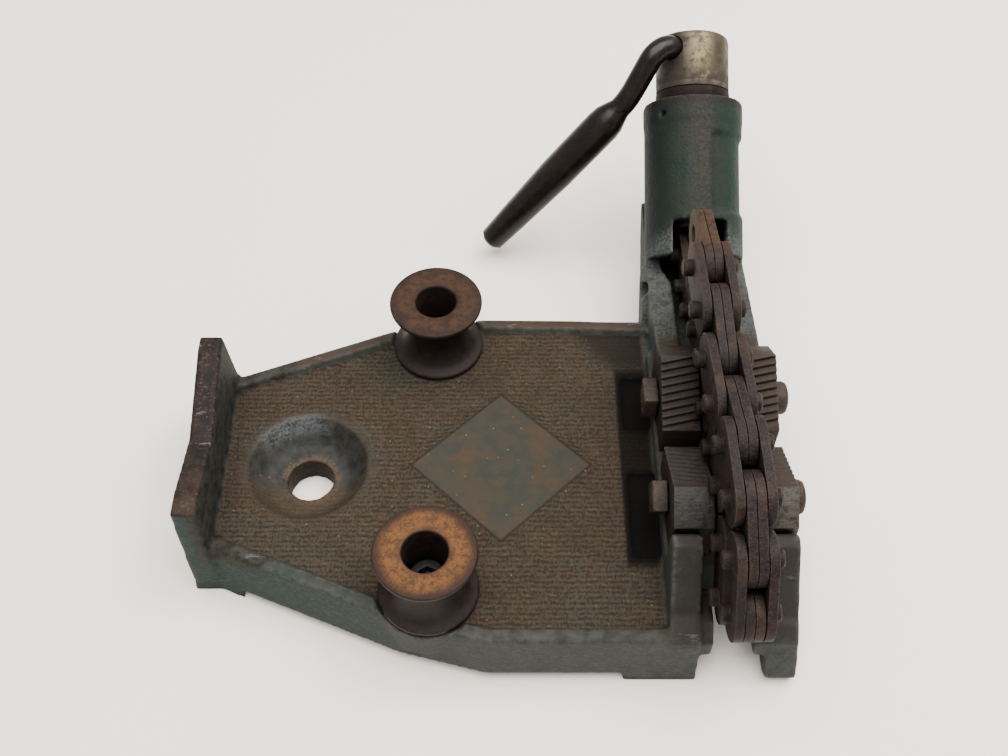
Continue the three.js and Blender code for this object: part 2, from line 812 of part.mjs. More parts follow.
function thrustWasher() {
  const [s0, s1] = WASHER;
  const profile = [
    [TUBE_NECK, s0],
    [WASHER_RADIUS, s0],
    [WASHER_RADIUS, s1],
    [TUBE_NECK, s1],
    [TUBE_NECK, s0],
  ];
  return leaning(lathe(profile, FINE_ROUND));
}

// The screw, with a flat eye that holds the first pin of the chain.
function drawScrew() {
  const shank = leaning(
    lathe(
      [
        [0, SCREW_START],
        [SCREW_RADIUS, SCREW_START],
        [SCREW_RADIUS, SCREW_END - PIN_CHAMFER],
        [SCREW_RADIUS - PIN_CHAMFER, SCREW_END],
        [0, SCREW_END],
      ],
      ROUND,
    ),
  );
  const outline = [];
  const from = onAxis(CHAIN_ANCHOR);
  const to = onAxis(TONGUE_END);
  for (let i = 0; i <= PLATE_ROUND; i++) {
    const a = SLOPE + Math.PI / 2 + (i / PLATE_ROUND) * Math.PI;
    outline.push([from.y + EYE_RADIUS * Math.cos(a), from.z + EYE_RADIUS * Math.sin(a)]);
  }
  [-1, 1].forEach((side) => {
    outline.push([to.y + side * UP.y * EYE_RADIUS, to.z + side * UP.z * EYE_RADIUS]);
  });
  const tongue = prism(outline, -PLATE_THICKNESS, PLATE_THICKNESS);
  const wide = PIN_RADIUS + PIN_CLEARANCE;
  const eye = crossDrum(wide, -PIN_HALF, PIN_HALF, from.y, from.z, PIN_ROUND);
  return cut(join(shank, tongue), eye);
}

function handle() {
  const start = CROSS_CENTRE.clone().addScaledVector(CROSS_DIR, -BAR_TAIL);
  const corner = CROSS_CENTRE.clone().addScaledVector(CROSS_DIR, BAR_REACH + BEND_RADIUS);
  const neckEnd = new THREE.Vector3(...NECK_END);
  const tip = new THREE.Vector3(...GRIP_TIP);
  const toNeck = neckEnd.clone().sub(corner).normalize();
  const bendIn = corner.clone().addScaledVector(CROSS_DIR, -BEND_RADIUS);
  const bendOut = corner.clone().addScaledVector(toNeck, BEND_RADIUS);
  const grip = tip.clone().sub(neckEnd);
  const run = grip.length();
  const along = grip.clone().normalize();
  const points = [start, bendIn, bendOut, neckEnd];
  const bar = sweep(points, BAR_RADIUS, PIN_ROUND);
  const tipRound = GRIP_TIP_RADIUS * TIP_ROUND_SHARE;
  const profile = [
    [0, -BAR_RADIUS],
    [BAR_RADIUS * NECK_NOSE_SHARES[0], -BAR_RADIUS * NECK_NOSE_SHARES[1]],
    [BAR_RADIUS + GAP, 0],
    [GRIP_RADIUS, GRIP_SHOULDER],
    [GRIP_RADIUS, run * GRIP_FULL_SHARE],
    [GRIP_TIP_RADIUS, run - tipRound],
    [GRIP_TIP_RADIUS * TIP_EDGE_SHARES[0], run - tipRound * TIP_EDGE_SHARES[1]],
    [0, run],
  ];
  const turn = new THREE.Quaternion().setFromUnitVectors(new THREE.Vector3(0, 0, 1), along);
  const g = lathe(profile, SMALL_ROUND).applyQuaternion(turn);
  return join(bar, solidOf(g.translate(neckEnd.x, neckEnd.y, neckEnd.z)));
}

// A round bar through a list of points, with mitred corners.
function sweep(points, radius, segments) {
  const positions = [];
  const index = [];
  const last = points.length - 1;
  let side = new THREE.Vector3().crossVectors(points[1].clone().sub(points[0]), Y_DIR).normalize();
  points.forEach((p, i) => {
    const before = p.clone().sub(points[Math.max(i - 1, 0)]).normalize();
    const after = points[Math.min(i + 1, last)].clone().sub(p).normalize();
    const tangent = before.clone().add(after).normalize();
    side = side.clone().addScaledVector(tangent, -side.dot(tangent)).normalize();
    const other = new THREE.Vector3().crossVectors(tangent, side);
    const bend = i && i < last ? Math.sqrt((1 + before.dot(after)) / 2) : 1;
    const inBend = new THREE.Vector3().subVectors(after, before);
    const out = inBend.length() > MERGE_DISTANCE ? inBend.normalize() : side.clone();
    for (let k = 0; k < segments; k++) {
      const a = (k / segments) * Math.PI * 2;
      const v = side.clone().multiplyScalar(Math.cos(a)).addScaledVector(other, Math.sin(a));
      v.multiplyScalar(radius);
      v.addScaledVector(out, v.dot(out) * (1 / bend - 1));
      positions.push(p.x + v.x, p.y + v.y, p.z + v.z);
    }
  });
  for (let i = 0; i < last; i++) {
    for (let k = 0; k < segments; k++) {
      const a = i * segments + k;
      const b = i * segments + ((k + 1) % segments);
      index.push(a, b, b + segments);
      index.push(a, b + segments, a + segments);
    }
  }
  for (let k = 1; k < segments - 1; k++) {
    index.push(0, k + 1, k);
    const end = last * segments;
    index.push(end, end + k, end + k + 1);
  }
  const g = new THREE.BufferGeometry();
  g.setAttribute("position", new THREE.Float32BufferAttribute(positions, 3));
  g.setIndex(index);
  return solidOf(g);
}

// ---- chain ----
// The frame of a link: its first pin at the origin, the second along Y.
function linkFrames() {
  let at = onAxis(CHAIN_ANCHOR);
  return LINK_ANGLES.map((angle, i) => {
    const turn = new THREE.Matrix4().makeRotationZ(radians(LINK_TURNS[i]));
    const lift = new THREE.Matrix4().makeRotationX(radians(angle));
    const frame = turn.multiply(lift).setPosition(at);
    at = new THREE.Vector3(0, CHAIN_PITCH, 0).applyMatrix4(frame);
    return frame;
  });
}

// The outline of a plate round two pins.
function platePoints(radius) {
  const points = [];
  [0, CHAIN_PITCH].forEach((y, end) => {
    for (let i = 0; i <= PLATE_ROUND; i++) {
      const a = Math.PI * (i / PLATE_ROUND) + (end ? -Math.PI / 2 : Math.PI / 2);
      points.push([y + radius * Math.cos(a), radius * Math.sin(a)]);
    }
  });
  return points;
}

function pin(y) {
  const profile = [
    [0, -PIN_HALF],
    [PIN_RADIUS - PIN_CHAMFER, -PIN_HALF],
    [PIN_RADIUS, PIN_CHAMFER - PIN_HALF],
    [PIN_RADIUS, PIN_HALF - PIN_CHAMFER],
    [PIN_RADIUS - PIN_CHAMFER, PIN_HALF],
    [0, PIN_HALF],
  ];
  return solidOf(lathe(profile, PIN_ROUND).rotateY(Math.PI / 2).translate(0, y, 0));
}

function outerLink() {
  const inner = PLATE_THICKNESS + PLATE_GAP;
  const plates = [
    prism(platePoints(PLATE_RADIUS), -inner - PLATE_THICKNESS, -inner),
    prism(platePoints(PLATE_RADIUS), inner, inner + PLATE_THICKNESS),
  ];
  return join(...plates, pin(0), pin(CHAIN_PITCH));
}

function innerLink() {
  const t = PLATE_THICKNESS;
  const d = SEAM_DEPTH;
  const halves = join(
    prism(platePoints(PLATE_RADIUS), -t, -d / 2),
    prism(platePoints(PLATE_RADIUS), d / 2, t),
    prism(platePoints(PLATE_RADIUS - d), -d / 2, d / 2),
  );
  const r = PIN_RADIUS + PIN_CLEARANCE;
  const holes = [0, CHAIN_PITCH].map((y) => crossDrum(r, -t - PAST, t + PAST, y, 0, PIN_ROUND));
  return cut(halves, ...holes);
}

// ---- assembly ----
place("vise_body", body(), "casting");
Object.entries(ROLLER_Y).forEach(([end, y]) => {
  place("bender_roller_" + end, roller(y), "rust");
  place("roller_bolt_" + end, rollerBolt(y), "steel");
  place("roller_nut_" + end, rollerNut(y), "steel");
});
Object.entries({ rear: 1, front: -1 }).forEach(([end, sideY]) => {
  place("jaw_left_" + end, jaw(-1, sideY), "jaw");
  place("jaw_right_" + end, jaw(1, sideY), "jaw");
  place("jaw_bolt_" + end, jawBolt(sideY), "steel");
  place("jaw_nut_" + end, jawNut(sideY, JAW_NUT_TURN[end]), "steel");
});
place("draw_screw", drawScrew(), "steel");
place("thrust_washer", thrustWasher(), "rust");
place("crank_nut", crankNut(), "steel");
place("crank_handle", handle(), "handle");
linkFrames().forEach((frame, i) => {
  const number = String(i + 1).padStart(2, "0");
  const solid = i % 2 ? innerLink() : outerLink();
  place("chain_link_" + number, solid.transform(frame.toArray()), "chain");
});

const bounds = new THREE.Box3().setFromObject(group);
const middle = bounds.getCenter(new THREE.Vector3());
group.children.forEach((mesh) => {
  mesh.geometry.translate(-middle.x, -middle.y, -bounds.min.z);
});

export default group;
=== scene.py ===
"""Dresses the bench chain pipe vise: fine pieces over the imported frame, worn iron finishes, a pale stage.

Lengths in the tables are millimetres in the vise's own axes: X = 0 is the plane of the chain, Y = 0 the
axis of the pipe and Z = 0 the bench. at() carries them to the frame's metres.
"""

import json
from contextlib import contextmanager
from math import atan2, cos, pi, radians, sin, sqrt, tan

import bmesh
import bpy
from bpy.props import FloatProperty, FloatVectorProperty, IntProperty, PointerProperty
from bpy.types import Operator, Panel, PropertyGroup
from mathutils import Matrix, Vector

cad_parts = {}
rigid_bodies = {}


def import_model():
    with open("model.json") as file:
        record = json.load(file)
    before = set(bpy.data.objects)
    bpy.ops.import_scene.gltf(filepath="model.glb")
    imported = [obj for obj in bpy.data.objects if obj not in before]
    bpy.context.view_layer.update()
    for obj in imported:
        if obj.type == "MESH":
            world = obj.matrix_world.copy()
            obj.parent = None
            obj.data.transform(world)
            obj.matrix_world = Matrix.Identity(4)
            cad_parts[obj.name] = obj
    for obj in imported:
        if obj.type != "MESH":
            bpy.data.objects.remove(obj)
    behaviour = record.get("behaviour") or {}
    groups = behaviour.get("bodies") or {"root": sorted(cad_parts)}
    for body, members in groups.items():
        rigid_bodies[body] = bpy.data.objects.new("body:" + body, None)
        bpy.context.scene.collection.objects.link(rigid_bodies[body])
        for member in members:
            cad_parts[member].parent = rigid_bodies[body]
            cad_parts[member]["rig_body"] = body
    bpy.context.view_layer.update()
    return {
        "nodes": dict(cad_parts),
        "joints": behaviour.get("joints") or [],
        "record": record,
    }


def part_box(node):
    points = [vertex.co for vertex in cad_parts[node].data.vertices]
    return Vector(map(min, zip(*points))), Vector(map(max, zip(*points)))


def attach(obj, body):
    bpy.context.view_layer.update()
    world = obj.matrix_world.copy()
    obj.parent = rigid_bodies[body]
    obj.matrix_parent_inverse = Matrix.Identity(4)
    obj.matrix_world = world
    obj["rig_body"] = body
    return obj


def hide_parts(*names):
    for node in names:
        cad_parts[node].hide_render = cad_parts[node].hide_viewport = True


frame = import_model()

bl_info = {
    "name": "Chain pipe vise",
    "version": (1, 0, 0),
    "blender": (4, 5, 0),
    "location": "3D View > Sidebar > Chain vise",
    "description": "Builds a bench chain pipe vise and its stage",
    "category": "Object",
}

MM = 0.001
TINY = 1e-6

# ---- places, repeated from the part ----
ROLLER_SPOTS = {"rear": (-134, 75), "front": (-134, -64)}
ROLLER_FOOT = 28.4
TOWER_BASE = (0, 170.5, 73.7)
TOWER_SLOPE = radians(34)
CROSS_AT = 52  # the handle's hole, along the tower's axis
CROSS_TURN = radians(42)
JAW_BOLT = (27.7, 47.5)  # Y and Z, on the rear side
ENDS = (("rear", 1), ("front", -1))
JAW_NUT_TURN = {"rear": 0, "front": radians(27)}
BOLT_DISH = (-194.5, 2)
PAD = (-102, 2, 44, 42.6)  # centre, half width and half depth
NECK_END = (-35.2, 188, 94.4)
GRIP_TIP = (-109.5, 164.5, 10.4)
CAMERA_SPOT = (-100.5, -311, 511)
CAMERA_TILT = radians(37.1)
CAMERA_LENS = 42.86

_low, _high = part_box("bender_roller_rear")
ORIGIN = Vector(
    (
        (_low.x + _high.x) / 2 - ROLLER_SPOTS["rear"][0] * MM,
        (_low.y + _high.y) / 2 - ROLLER_SPOTS["rear"][1] * MM,
        _low.z - ROLLER_FOOT * MM,
    )
)


def at(x, y, z):
    """A point of the vise's own axes, in the frame's metres."""
    return ORIGIN + Vector((x, y, z)) * MM


AXIS = Vector((0, cos(TOWER_SLOPE), sin(TOWER_SLOPE)))
TOWER_UP = Vector((0, -sin(TOWER_SLOPE), cos(TOWER_SLOPE)))
CROSS = Vector((-sin(CROSS_TURN), 0, 0)) + TOWER_UP * cos(CROSS_TURN)


def placed(x_axis, y_axis, z_axis, spot):
    """The matrix that carries a piece to these axes, at a spot."""
    turn = Matrix((x_axis, y_axis, z_axis)).transposed()
    return Matrix.Translation(spot) @ turn.to_4x4()


ON_TOWER = placed(Vector((1, 0, 0)), -TOWER_UP, AXIS, at(*TOWER_BASE))
ALONG_X = Matrix.Rotation(pi / 2, 4, "Y")


# ---- sizes and colours that a user would change ----
def length(name, description, value):
    """A length in millimetres, as a property."""
    return FloatProperty(name=name, description=description, default=value * MM, unit="LENGTH")


class ViseSizes(PropertyGroup):
    """Sizes of the fine detail."""

    casting_grain: length("Casting grain", "Facet before it is smoothed", 1.15)
    casting_rounds: IntProperty(
        name="Casting rounds", description="How often its edges are rubbed", default=7, min=0
    )
    edge_round: length("Machined edge", "Round of a turned edge", 0.6)
    plate_round: length("Chain plate edge", "Round of a plate's edge", 0.35)
    plate_gap: length("Inner plate gap", "Gap between the two plates of an inner link", 0.24)
    tooth_round: length("Tooth edge", "Round of a worn jaw tooth", 0.28)
    tooth_depth: length("Tooth depth", "Depth of a jaw's teeth", 1.3)
    around: IntProperty(
        name="Facets around", description="Facets round a turned piece", default=96, min=24
    )


def colour(name, description, value):
    return FloatVectorProperty(
        name=name, description=description, subtype="COLOR", size=3, min=0, max=1, default=value
    )


class ViseColours(PropertyGroup):
    """Colours of the finishes, as linear light."""

    paint: colour("Paint", "Grey-green of the casting", (0.052, 0.0585, 0.051))
    paint_deep: colour("Deep paint", "Paint in the hollows", (0.019, 0.024, 0.021))
    paint_green: colour("Green paint", "Paint at the pipe rest", (0.021, 0.04, 0.0335))
    tower_paint: colour("Tower paint", "Dark green", (0.0056, 0.015, 0.0127))
    teal: colour("Teal paint", "The tower's right side", (0.0026, 0.0205, 0.0145))
    lug_paint: colour("Lug paint", "Blackened paint of lugs", (0.0245, 0.023, 0.0195))
    floor_dirt: colour("Floor dirt", "Olive dirt of the plate", (0.036, 0.0262, 0.0168))
    # Dirt with painted shade in the hollows of the dimples; it also draws the dark line round the pad.
    floor_shade_dirt: colour("Deep floor dirt", "Dirt between the dimples", (0.008, 0.0055, 0.0035))
    pad: colour("Pad", "Grey-olive of the raised pad", (0.029, 0.024, 0.0165))
    rust: colour("Rust", "Brown rust", (0.028, 0.015, 0.0095))
    bright_rust: colour("Fresh rust", "Orange tops of the rollers", (0.098, 0.041, 0.0125))
    roller_side: colour("Roller side", "Dark brown of the waists", (0.0125, 0.0072, 0.0062))
    chain_iron: colour("Chain iron", "Purple-brown", (0.0098, 0.0056, 0.005))
    chain_dust: colour("Chain dust", "Tan dust on its end", (0.04, 0.0205, 0.0095))
    jaw_iron: colour("Jaw iron", "Dull iron of the jaws", (0.0205, 0.0135, 0.0102))
    crank_metal: colour("Crank metal", "Turned steel of the crank", (0.118, 0.093, 0.053))
    crank_stain: colour("Crank stain", "Brown stain on it", (0.028, 0.02, 0.013))
    handle_iron: colour("Handle iron", "Dark forged handle", (0.0042, 0.002, 0.0017))
    bolt_rust: colour("Bolt rust", "Tan rust of nuts and bolts", (0.023, 0.0155, 0.0105))
    washer_rust: colour("Washer rust", "Dark rust of the washer", (0.0065, 0.0036, 0.0027))
    # Painted shade: this near-black darkens corners, grooves, creases and dents where shade falls; it also
    # fills the casting's pockets and darkens its bottom.
    shade_and_grime: colour("Grime", "Black grime in corners", (0.0013, 0.0009, 0.0007))
    chips: colour("Chips", "Small bright chips in the dirt", (0.3, 0.21, 0.12))
    stage: colour("Stage", "Pale floor", (0.82, 0.765, 0.715))


# ---- modelling helpers ----
SLOTS = {row["node"]: row["material_slot"] for row in frame["record"]["subparts"]}


def body_of(node):
    """The body that a node rides on."""
    return frame["nodes"][node]["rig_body"]


def only(piece):
    """Makes one object the only selected one."""
    bpy.ops.object.select_all(action="DESELECT")
    piece.select_set(True)
    bpy.context.view_layer.objects.active = piece


@contextmanager
def shaping(piece):
    """Edit mode on one piece, all of it selected at first."""
    only(piece)
    bpy.ops.object.mode_set(mode="EDIT")
    bpy.ops.mesh.select_all(action="SELECT")
    try:
        yield
    finally:
        bpy.ops.object.mode_set(mode="OBJECT")


def choose(piece, test):
    """Selects only the vertices whose place passes a test."""
    bpy.ops.mesh.select_mode(type="VERT")
    bpy.ops.mesh.select_all(action="DESELECT")
    mesh = bmesh.from_edit_mesh(piece.data)
    for vertex in mesh.verts:
        vertex.select_set(test(vertex.co))
    mesh.select_flush(True)
    bmesh.update_edit_mesh(piece.data)


def added(name):
    """The object that the last operator added, named."""
    piece = bpy.context.object
    piece.name = name
    piece.data.name = name
    return piece


def settle(piece, matrix=None):
    """Moves a piece and puts its place into its mesh."""
    only(piece)
    if matrix is not None:
        piece.matrix_world = matrix @ piece.matrix_world
        bpy.context.view_layer.update()
    bpy.ops.object.transform_apply(location=True, rotation=True, scale=True)
    return piece


def close_up(piece):
    """Merges doubled vertices and turns faces outwards."""
    with shaping(piece):
        bpy.ops.mesh.remove_doubles(threshold=2 * TINY)
        bpy.ops.mesh.normals_make_consistent(inside=False)


def modify(piece, kind, **settings):
    """Adds a modifier, sets it and applies it."""
    only(piece)
    bpy.ops.object.modifier_add(type=kind)
    modifier = piece.modifiers[-1]
    for name, value in settings.items():
        setattr(modifier, name, value)
    bpy.ops.object.modifier_apply(modifier=modifier.name)


def soften(piece, width, segments, angle):
    """Rounds the sharp edges of a piece."""
    bevel = {"width": width, "segments": segments, "angle_limit": radians(angle)}
    modify(piece, "BEVEL", limit_method="ANGLE", use_clamp_overlap=True, **bevel)


def carve(piece, cutter):
    """Cuts one piece out of another."""
    modify(piece, "BOOLEAN", operation="DIFFERENCE", solver="EXACT", object=cutter)
    bpy.data.objects.remove(cutter)


def turned(name, rings, around, hollow=False):
    """A piece turned about Z from rings of radius and height, each drawn out of the last."""
    radius, height = rings[0]
    fill = "NOTHING" if hollow else "NGON"
    bpy.ops.mesh.primitive_circle_add(
        vertices=around, radius=radius * MM, fill_type=fill, location=(0, 0, height * MM)
    )
    piece = settle(added(name))
    with shaping(piece):
        for (r0, z0), (r1, z1) in zip(rings, rings[1:]):
            rise = (0, 0, (z1 - z0) * MM)
            bpy.ops.mesh.extrude_region_move(TRANSFORM_OT_translate={"value": rise})
            grow = r1 / r0
            bpy.ops.transform.resize(value=(grow, grow, 1), center_override=(0, 0, z1 * MM))
    close_up(piece)
    return piece


def rod(name, radius, x0, x1, y, z, around=32):
    """A round bar along X, for a cutter or a start."""
    bpy.ops.mesh.primitive_cylinder_add(vertices=around, radius=radius * MM, depth=(x1 - x0) * MM)
    piece = added(name)
    spot = Matrix.Translation(Vector(((x0 + x1) / 2, y, z)) * MM)
    return settle(piece, spot @ ALONG_X)


def block(name, x0, x1, y0, y1, z0, z1):
    """A block between its corners."""
    middle = Vector((x0 + x1, y0 + y1, z0 + z1)) / 2
    scale = (x1 - x0, y1 - y0, z1 - z0)
    bpy.ops.mesh.primitive_cube_add(size=MM, location=middle * MM, scale=scale)
    return settle(added(name))


def copied(source, name, matrix=None):
    """A copy with its own mesh, in its place."""
    piece = bpy.data.objects.new(name, source.data.copy())
    piece.data.name = name
    bpy.context.scene.collection.objects.link(piece)
    if matrix is not None:
        settle(piece, matrix)
    return piece


def joined(name, pieces):
    """Several pieces made one."""
    bpy.ops.object.select_all(action="DESELECT")
    for piece in pieces:
        piece.select_set(True)
    bpy.context.view_layer.objects.active = pieces[0]
    bpy.ops.object.join()
    return added(name)


def dress(piece, look, node, smooth=32):
    """Gives a piece its finish and lets it stand for its CAD node on that node's body."""
    body, slot = body_of(node), SLOTS[node]
    only(piece)
    bpy.ops.object.shade_smooth_by_angle(angle=radians(smooth))
    piece.data.materials.clear()
    piece.data.materials.append(look)
    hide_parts(node)
    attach(piece, body)


def chosen(context):
    """The sizes and colours of the panel."""
    return context.scene.vise_sizes, context.scene.vise_colours


def dropped(*models):
    """Removes models whose copies are in place."""
    for model in models:
        bpy.data.objects.remove(model)


# ---- finishes ----
class Field:
    """What one socket gives; arithmetic on it adds Math nodes."""

    def __init__(self, finish, socket):
        self.finish = finish
        self.socket = socket

    def reckon(self, operation, *values):
        sockets = dict(enumerate(values))
        return self.finish.take("ShaderNodeMath", 0, {"operation": operation}, sockets)

    def __add__(self, other):
        return self.reckon("ADD", self, other)

    def __sub__(self, other):
        return self.reckon("SUBTRACT", self, other)

    def __rsub__(self, other):
        return self.reckon("SUBTRACT", other, self)

    def __mul__(self, other):
        return self.reckon("MULTIPLY", self, other)

    def __truediv__(self, other):
        return self.reckon("DIVIDE", self, other)

    def __pow__(self, other):
        return self.reckon("POWER", self, other)

    def __abs__(self):
        return self.reckon("ABSOLUTE", self)

    __radd__ = __add__
    __rmul__ = __mul__

    def sine(self):
        return self.reckon("SINE", self)

    def most(self, other):
        return self.reckon("MAXIMUM", self, other)

    def least(self, other):
        return self.reckon("MINIMUM", self, other)


class Finish:
    """A material, and the fields that its looks are worked out from."""

    def __init__(self, name):
        self.material = bpy.data.materials.new(name)
        self.material.use_nodes = True
        self.tree = self.material.node_tree
        self.tree.nodes.clear()
        self.shader = self.node("ShaderNodeBsdfPrincipled")
        self.node("ShaderNodeOutputMaterial", {}, {"Surface": self.out(self.shader, 0)})
        place = self.take("ShaderNodeTexCoord", "Object")
        own = self.vector("SUBTRACT", place, tuple(ORIGIN))
        self.place = self.scaled(own, 1 / MM)
        self.x, self.y, self.z = self.parts(self.place)

    def node(self, kind, settings=None, sockets=None):
        """Adds a node: its settings first, then its sockets."""
        made = self.tree.nodes.new(kind)
        for name, value in (settings or {}).items():
            setattr(made, name, value)
        self.feed(made, sockets or {})
        return made

    def feed(self, node, sockets):
        """Links or sets the inputs of a node."""
        for key, value in sockets.items():
            if isinstance(value, Field):
                self.tree.links.new(value.socket, node.inputs[key])
            else:
                node.inputs[key].default_value = value

    def out(self, node, output):
        return Field(self, node.outputs[output])

    def take(self, kind, output, settings=None, sockets=None):
        """Adds a node and gives one of its outputs."""
        return self.out(self.node(kind, settings, sockets), output)

    def vector(self, operation, a, b):
        return self.take("ShaderNodeVectorMath", 0, {"operation": operation}, {0: a, 1: b})

    def parts(self, place):
        split = self.node("ShaderNodeSeparateXYZ", {}, {0: place})
        return [self.out(split, axis) for axis in range(3)]

    def noise(self, size, detail=4, rough=0.6, shift=0, stretch=(1, 1, 1)):
        """Soft noise whose blotches are about this many millimetres."""
        shares = tuple(1 / (size * share) for share in stretch)
        moved = self.vector("ADD", self.place, (shift, shift, shift))
        scaled = self.vector("MULTIPLY", moved, shares)
        sockets = {"Vector": scaled, "Scale": 1, "Detail": detail, "Roughness": rough}
        return self.take("ShaderNodeTexNoise", 0, {}, sockets)

    def cells(self, size, shift):
        """Distance to the nearest of points this many millimetres apart."""
        moved = self.vector("ADD", self.place, (shift, shift, shift))
        sockets = {"Vector": moved, "Scale": 1 / size}
        return self.take("ShaderNodeTexVoronoi", "Distance", {}, sockets)

    def ramp(self, value, low, high):
        """0 up to low, 1 from high, and smooth between."""
        settings = {"interpolation_type": "SMOOTHSTEP"}
        return self.take("ShaderNodeMapRange", 0, settings, {0: value, 1: low, 2: high})

    def fall(self, value, low, high):
        """1 up to low, 0 from high, and smooth between."""
        return 1 - self.ramp(value, low, high)

    def band(self, value, low, high, soft):
        """1 between two values, with soft ends."""
        rise = self.ramp(value, low - soft, low + soft)
        return rise * self.fall(value, high - soft, high + soft)

    def mix(self, share, a, b):
        """One colour over another."""
        a, b = (c if isinstance(c, Field) else (*c, 1) for c in (a, b))
        settings = {"data_type": "RGBA", "clamp_factor": True}
        return self.take("ShaderNodeMix", 2, settings, {0: share, 6: a, 7: b})

    def layers(self, tint, *coats):
        """A colour with others over it, each with its share."""
        for share, over in coats:
            tint = self.mix(share, tint, over)
        return tint

    def stains(self, value, low, high, *others):
        """A ramp over a value, unsettled by noises with their shares."""
        for noise, share in others:
            value = value + share * (noise - 0.5)
        return self.ramp(value, low, high)

    def scaled(self, value, share):
        """A colour or a place times a number."""
        settings = {"operation": "SCALE"}
        return self.take("ShaderNodeVectorMath", 0, settings, {0: value, "Scale": share})

    def edges(self, low, high):
        """Edges of a finely divided piece, or its dents where high is under low."""
        return self.ramp(self.take("ShaderNodeNewGeometry", "Pointiness"), low, high)

    def corners(self, reach):
        """0 in deep corners and 1 in the open."""
        return self.take("ShaderNodeAmbientOcclusion", "AO", {"samples": 6}, {"Distance": reach * MM})

    def rubbed(self, reach):
        """1 on outer edges, felt from inside the piece."""
        settings = {"samples": 4, "inside": True, "only_local": True}
        felt = self.take("ShaderNodeAmbientOcclusion", "AO", settings, {"Distance": reach * MM})
        return 1 - self.ramp(felt, 0.45, 0.97)

    def facing(self):
        """How far a face looks up, from -1 to 1."""
        return self.parts(self.take("ShaderNodeNewGeometry", "Normal"))[2]

    def wear(self, tint, rough, metal, height, shine=0.3):
        """Feeds the shader. The height is in millimetres."""
        bump = self.take("ShaderNodeBump", 0, {}, {"Strength": 1, "Distance": MM, "Height": height})
        fed = {"Base Color": tint, "Roughness": rough, "Metallic": metal, "Normal": bump}
        self.feed(self.shader, {**fed, "Specular IOR Level": shine})
        return self.material


def darker(tint, share):
    """A colour with this share of its light."""
    return tuple(c * share for c in tint)


# Where the casting changes its looks, in millimetres along one axis.
TOWER_Y = (112, 128)
TOWER_RIGHT_X = (6, 13)
# The tower's left side, darkened as painted shade.
TOWER_SHADED_LEFT_X = (-20, -9)
TOWER_PATCH_X = (-16, -2)
TOWER_PATCH_Z = (92, 108)
TOWER_WORN_X = (-5, 7)
COLLAR_ALONG = (200, 205)
GREEN_X = (-215, -120)
PLATE_X = (-31, -29)
PLATE_Z = (24, 26)
IN_RIMS_Z = (5, 29.9)
POCKET_FLOOR_Z = (20, 22)
ROW_TURN = 2.42  # of the plate's rows of dimples, in radians a millimetre


def casting_fields(f):
    """The noises and zones that the looks of the casting share."""
    f.up = f.facing()
    f.broad = f.noise(46, 3)
    f.patch = f.noise(17, 4, shift=90)
    f.mottle = f.noise(6, 5, shift=210)
    f.fine = f.noise(1.3, 3, shift=40)
    f.grit = f.noise(0.6, 2, shift=77)
    f.tower = f.ramp(f.y, *TOWER_Y)
    f.hole_x, f.hole_y = f.x - BOLT_DISH[0], f.y - BOLT_DISH[1]
    f.from_hole = (f.hole_x * f.hole_x + f.hole_y * f.hole_y) ** 0.5
    inside = f.band(f.z, *IN_RIMS_Z, 0.4) * f.fall(f.x, *PLATE_X)
    dish = f.fall(f.from_hole, 27, 35) * inside * f.ramp(f.up, 0.25, 0.5)
    f.plate = (inside * f.ramp(f.up, 0.6, 0.9) * f.ramp(f.z, *PLATE_Z)).most(dish)
    f.spread = abs(f.x - PAD[0]) / PAD[2] + abs(f.y - PAD[1]) / PAD[3]
    f.pad = f.fall(f.spread + 0.05 * (f.mottle - 0.5), 0.93, 1.0)
    front = f.stains(f.hole_y, -14, 2, (f.patch, 6))
    f.bowl = (1 - f.stains(f.from_hole, 23, 36, (f.mottle, 7))) * (0.3 + 0.7 * front)
    f.sunk = f.band(f.x, -44.6, -27.8, 1) * f.fall(f.z, 26.6, 28.6) * f.ramp(f.z, *POCKET_FLOOR_Z)
    f.sunk = f.sunk * f.band(f.y, -52, 60, 3)
    f.arm = f.ramp(f.x, -33, -26) * f.band(f.y, 62, 122, 6)
    f.wall = f.band(f.x, -239, -206, 2) * f.ramp(f.z, 22, 26) * f.band(f.y, -54, 62, 2)
    f.rest = f.fall(f.x, -229, -226) * f.ramp(f.z, 28, 38) * f.ramp(f.up, 0.15, 0.5)


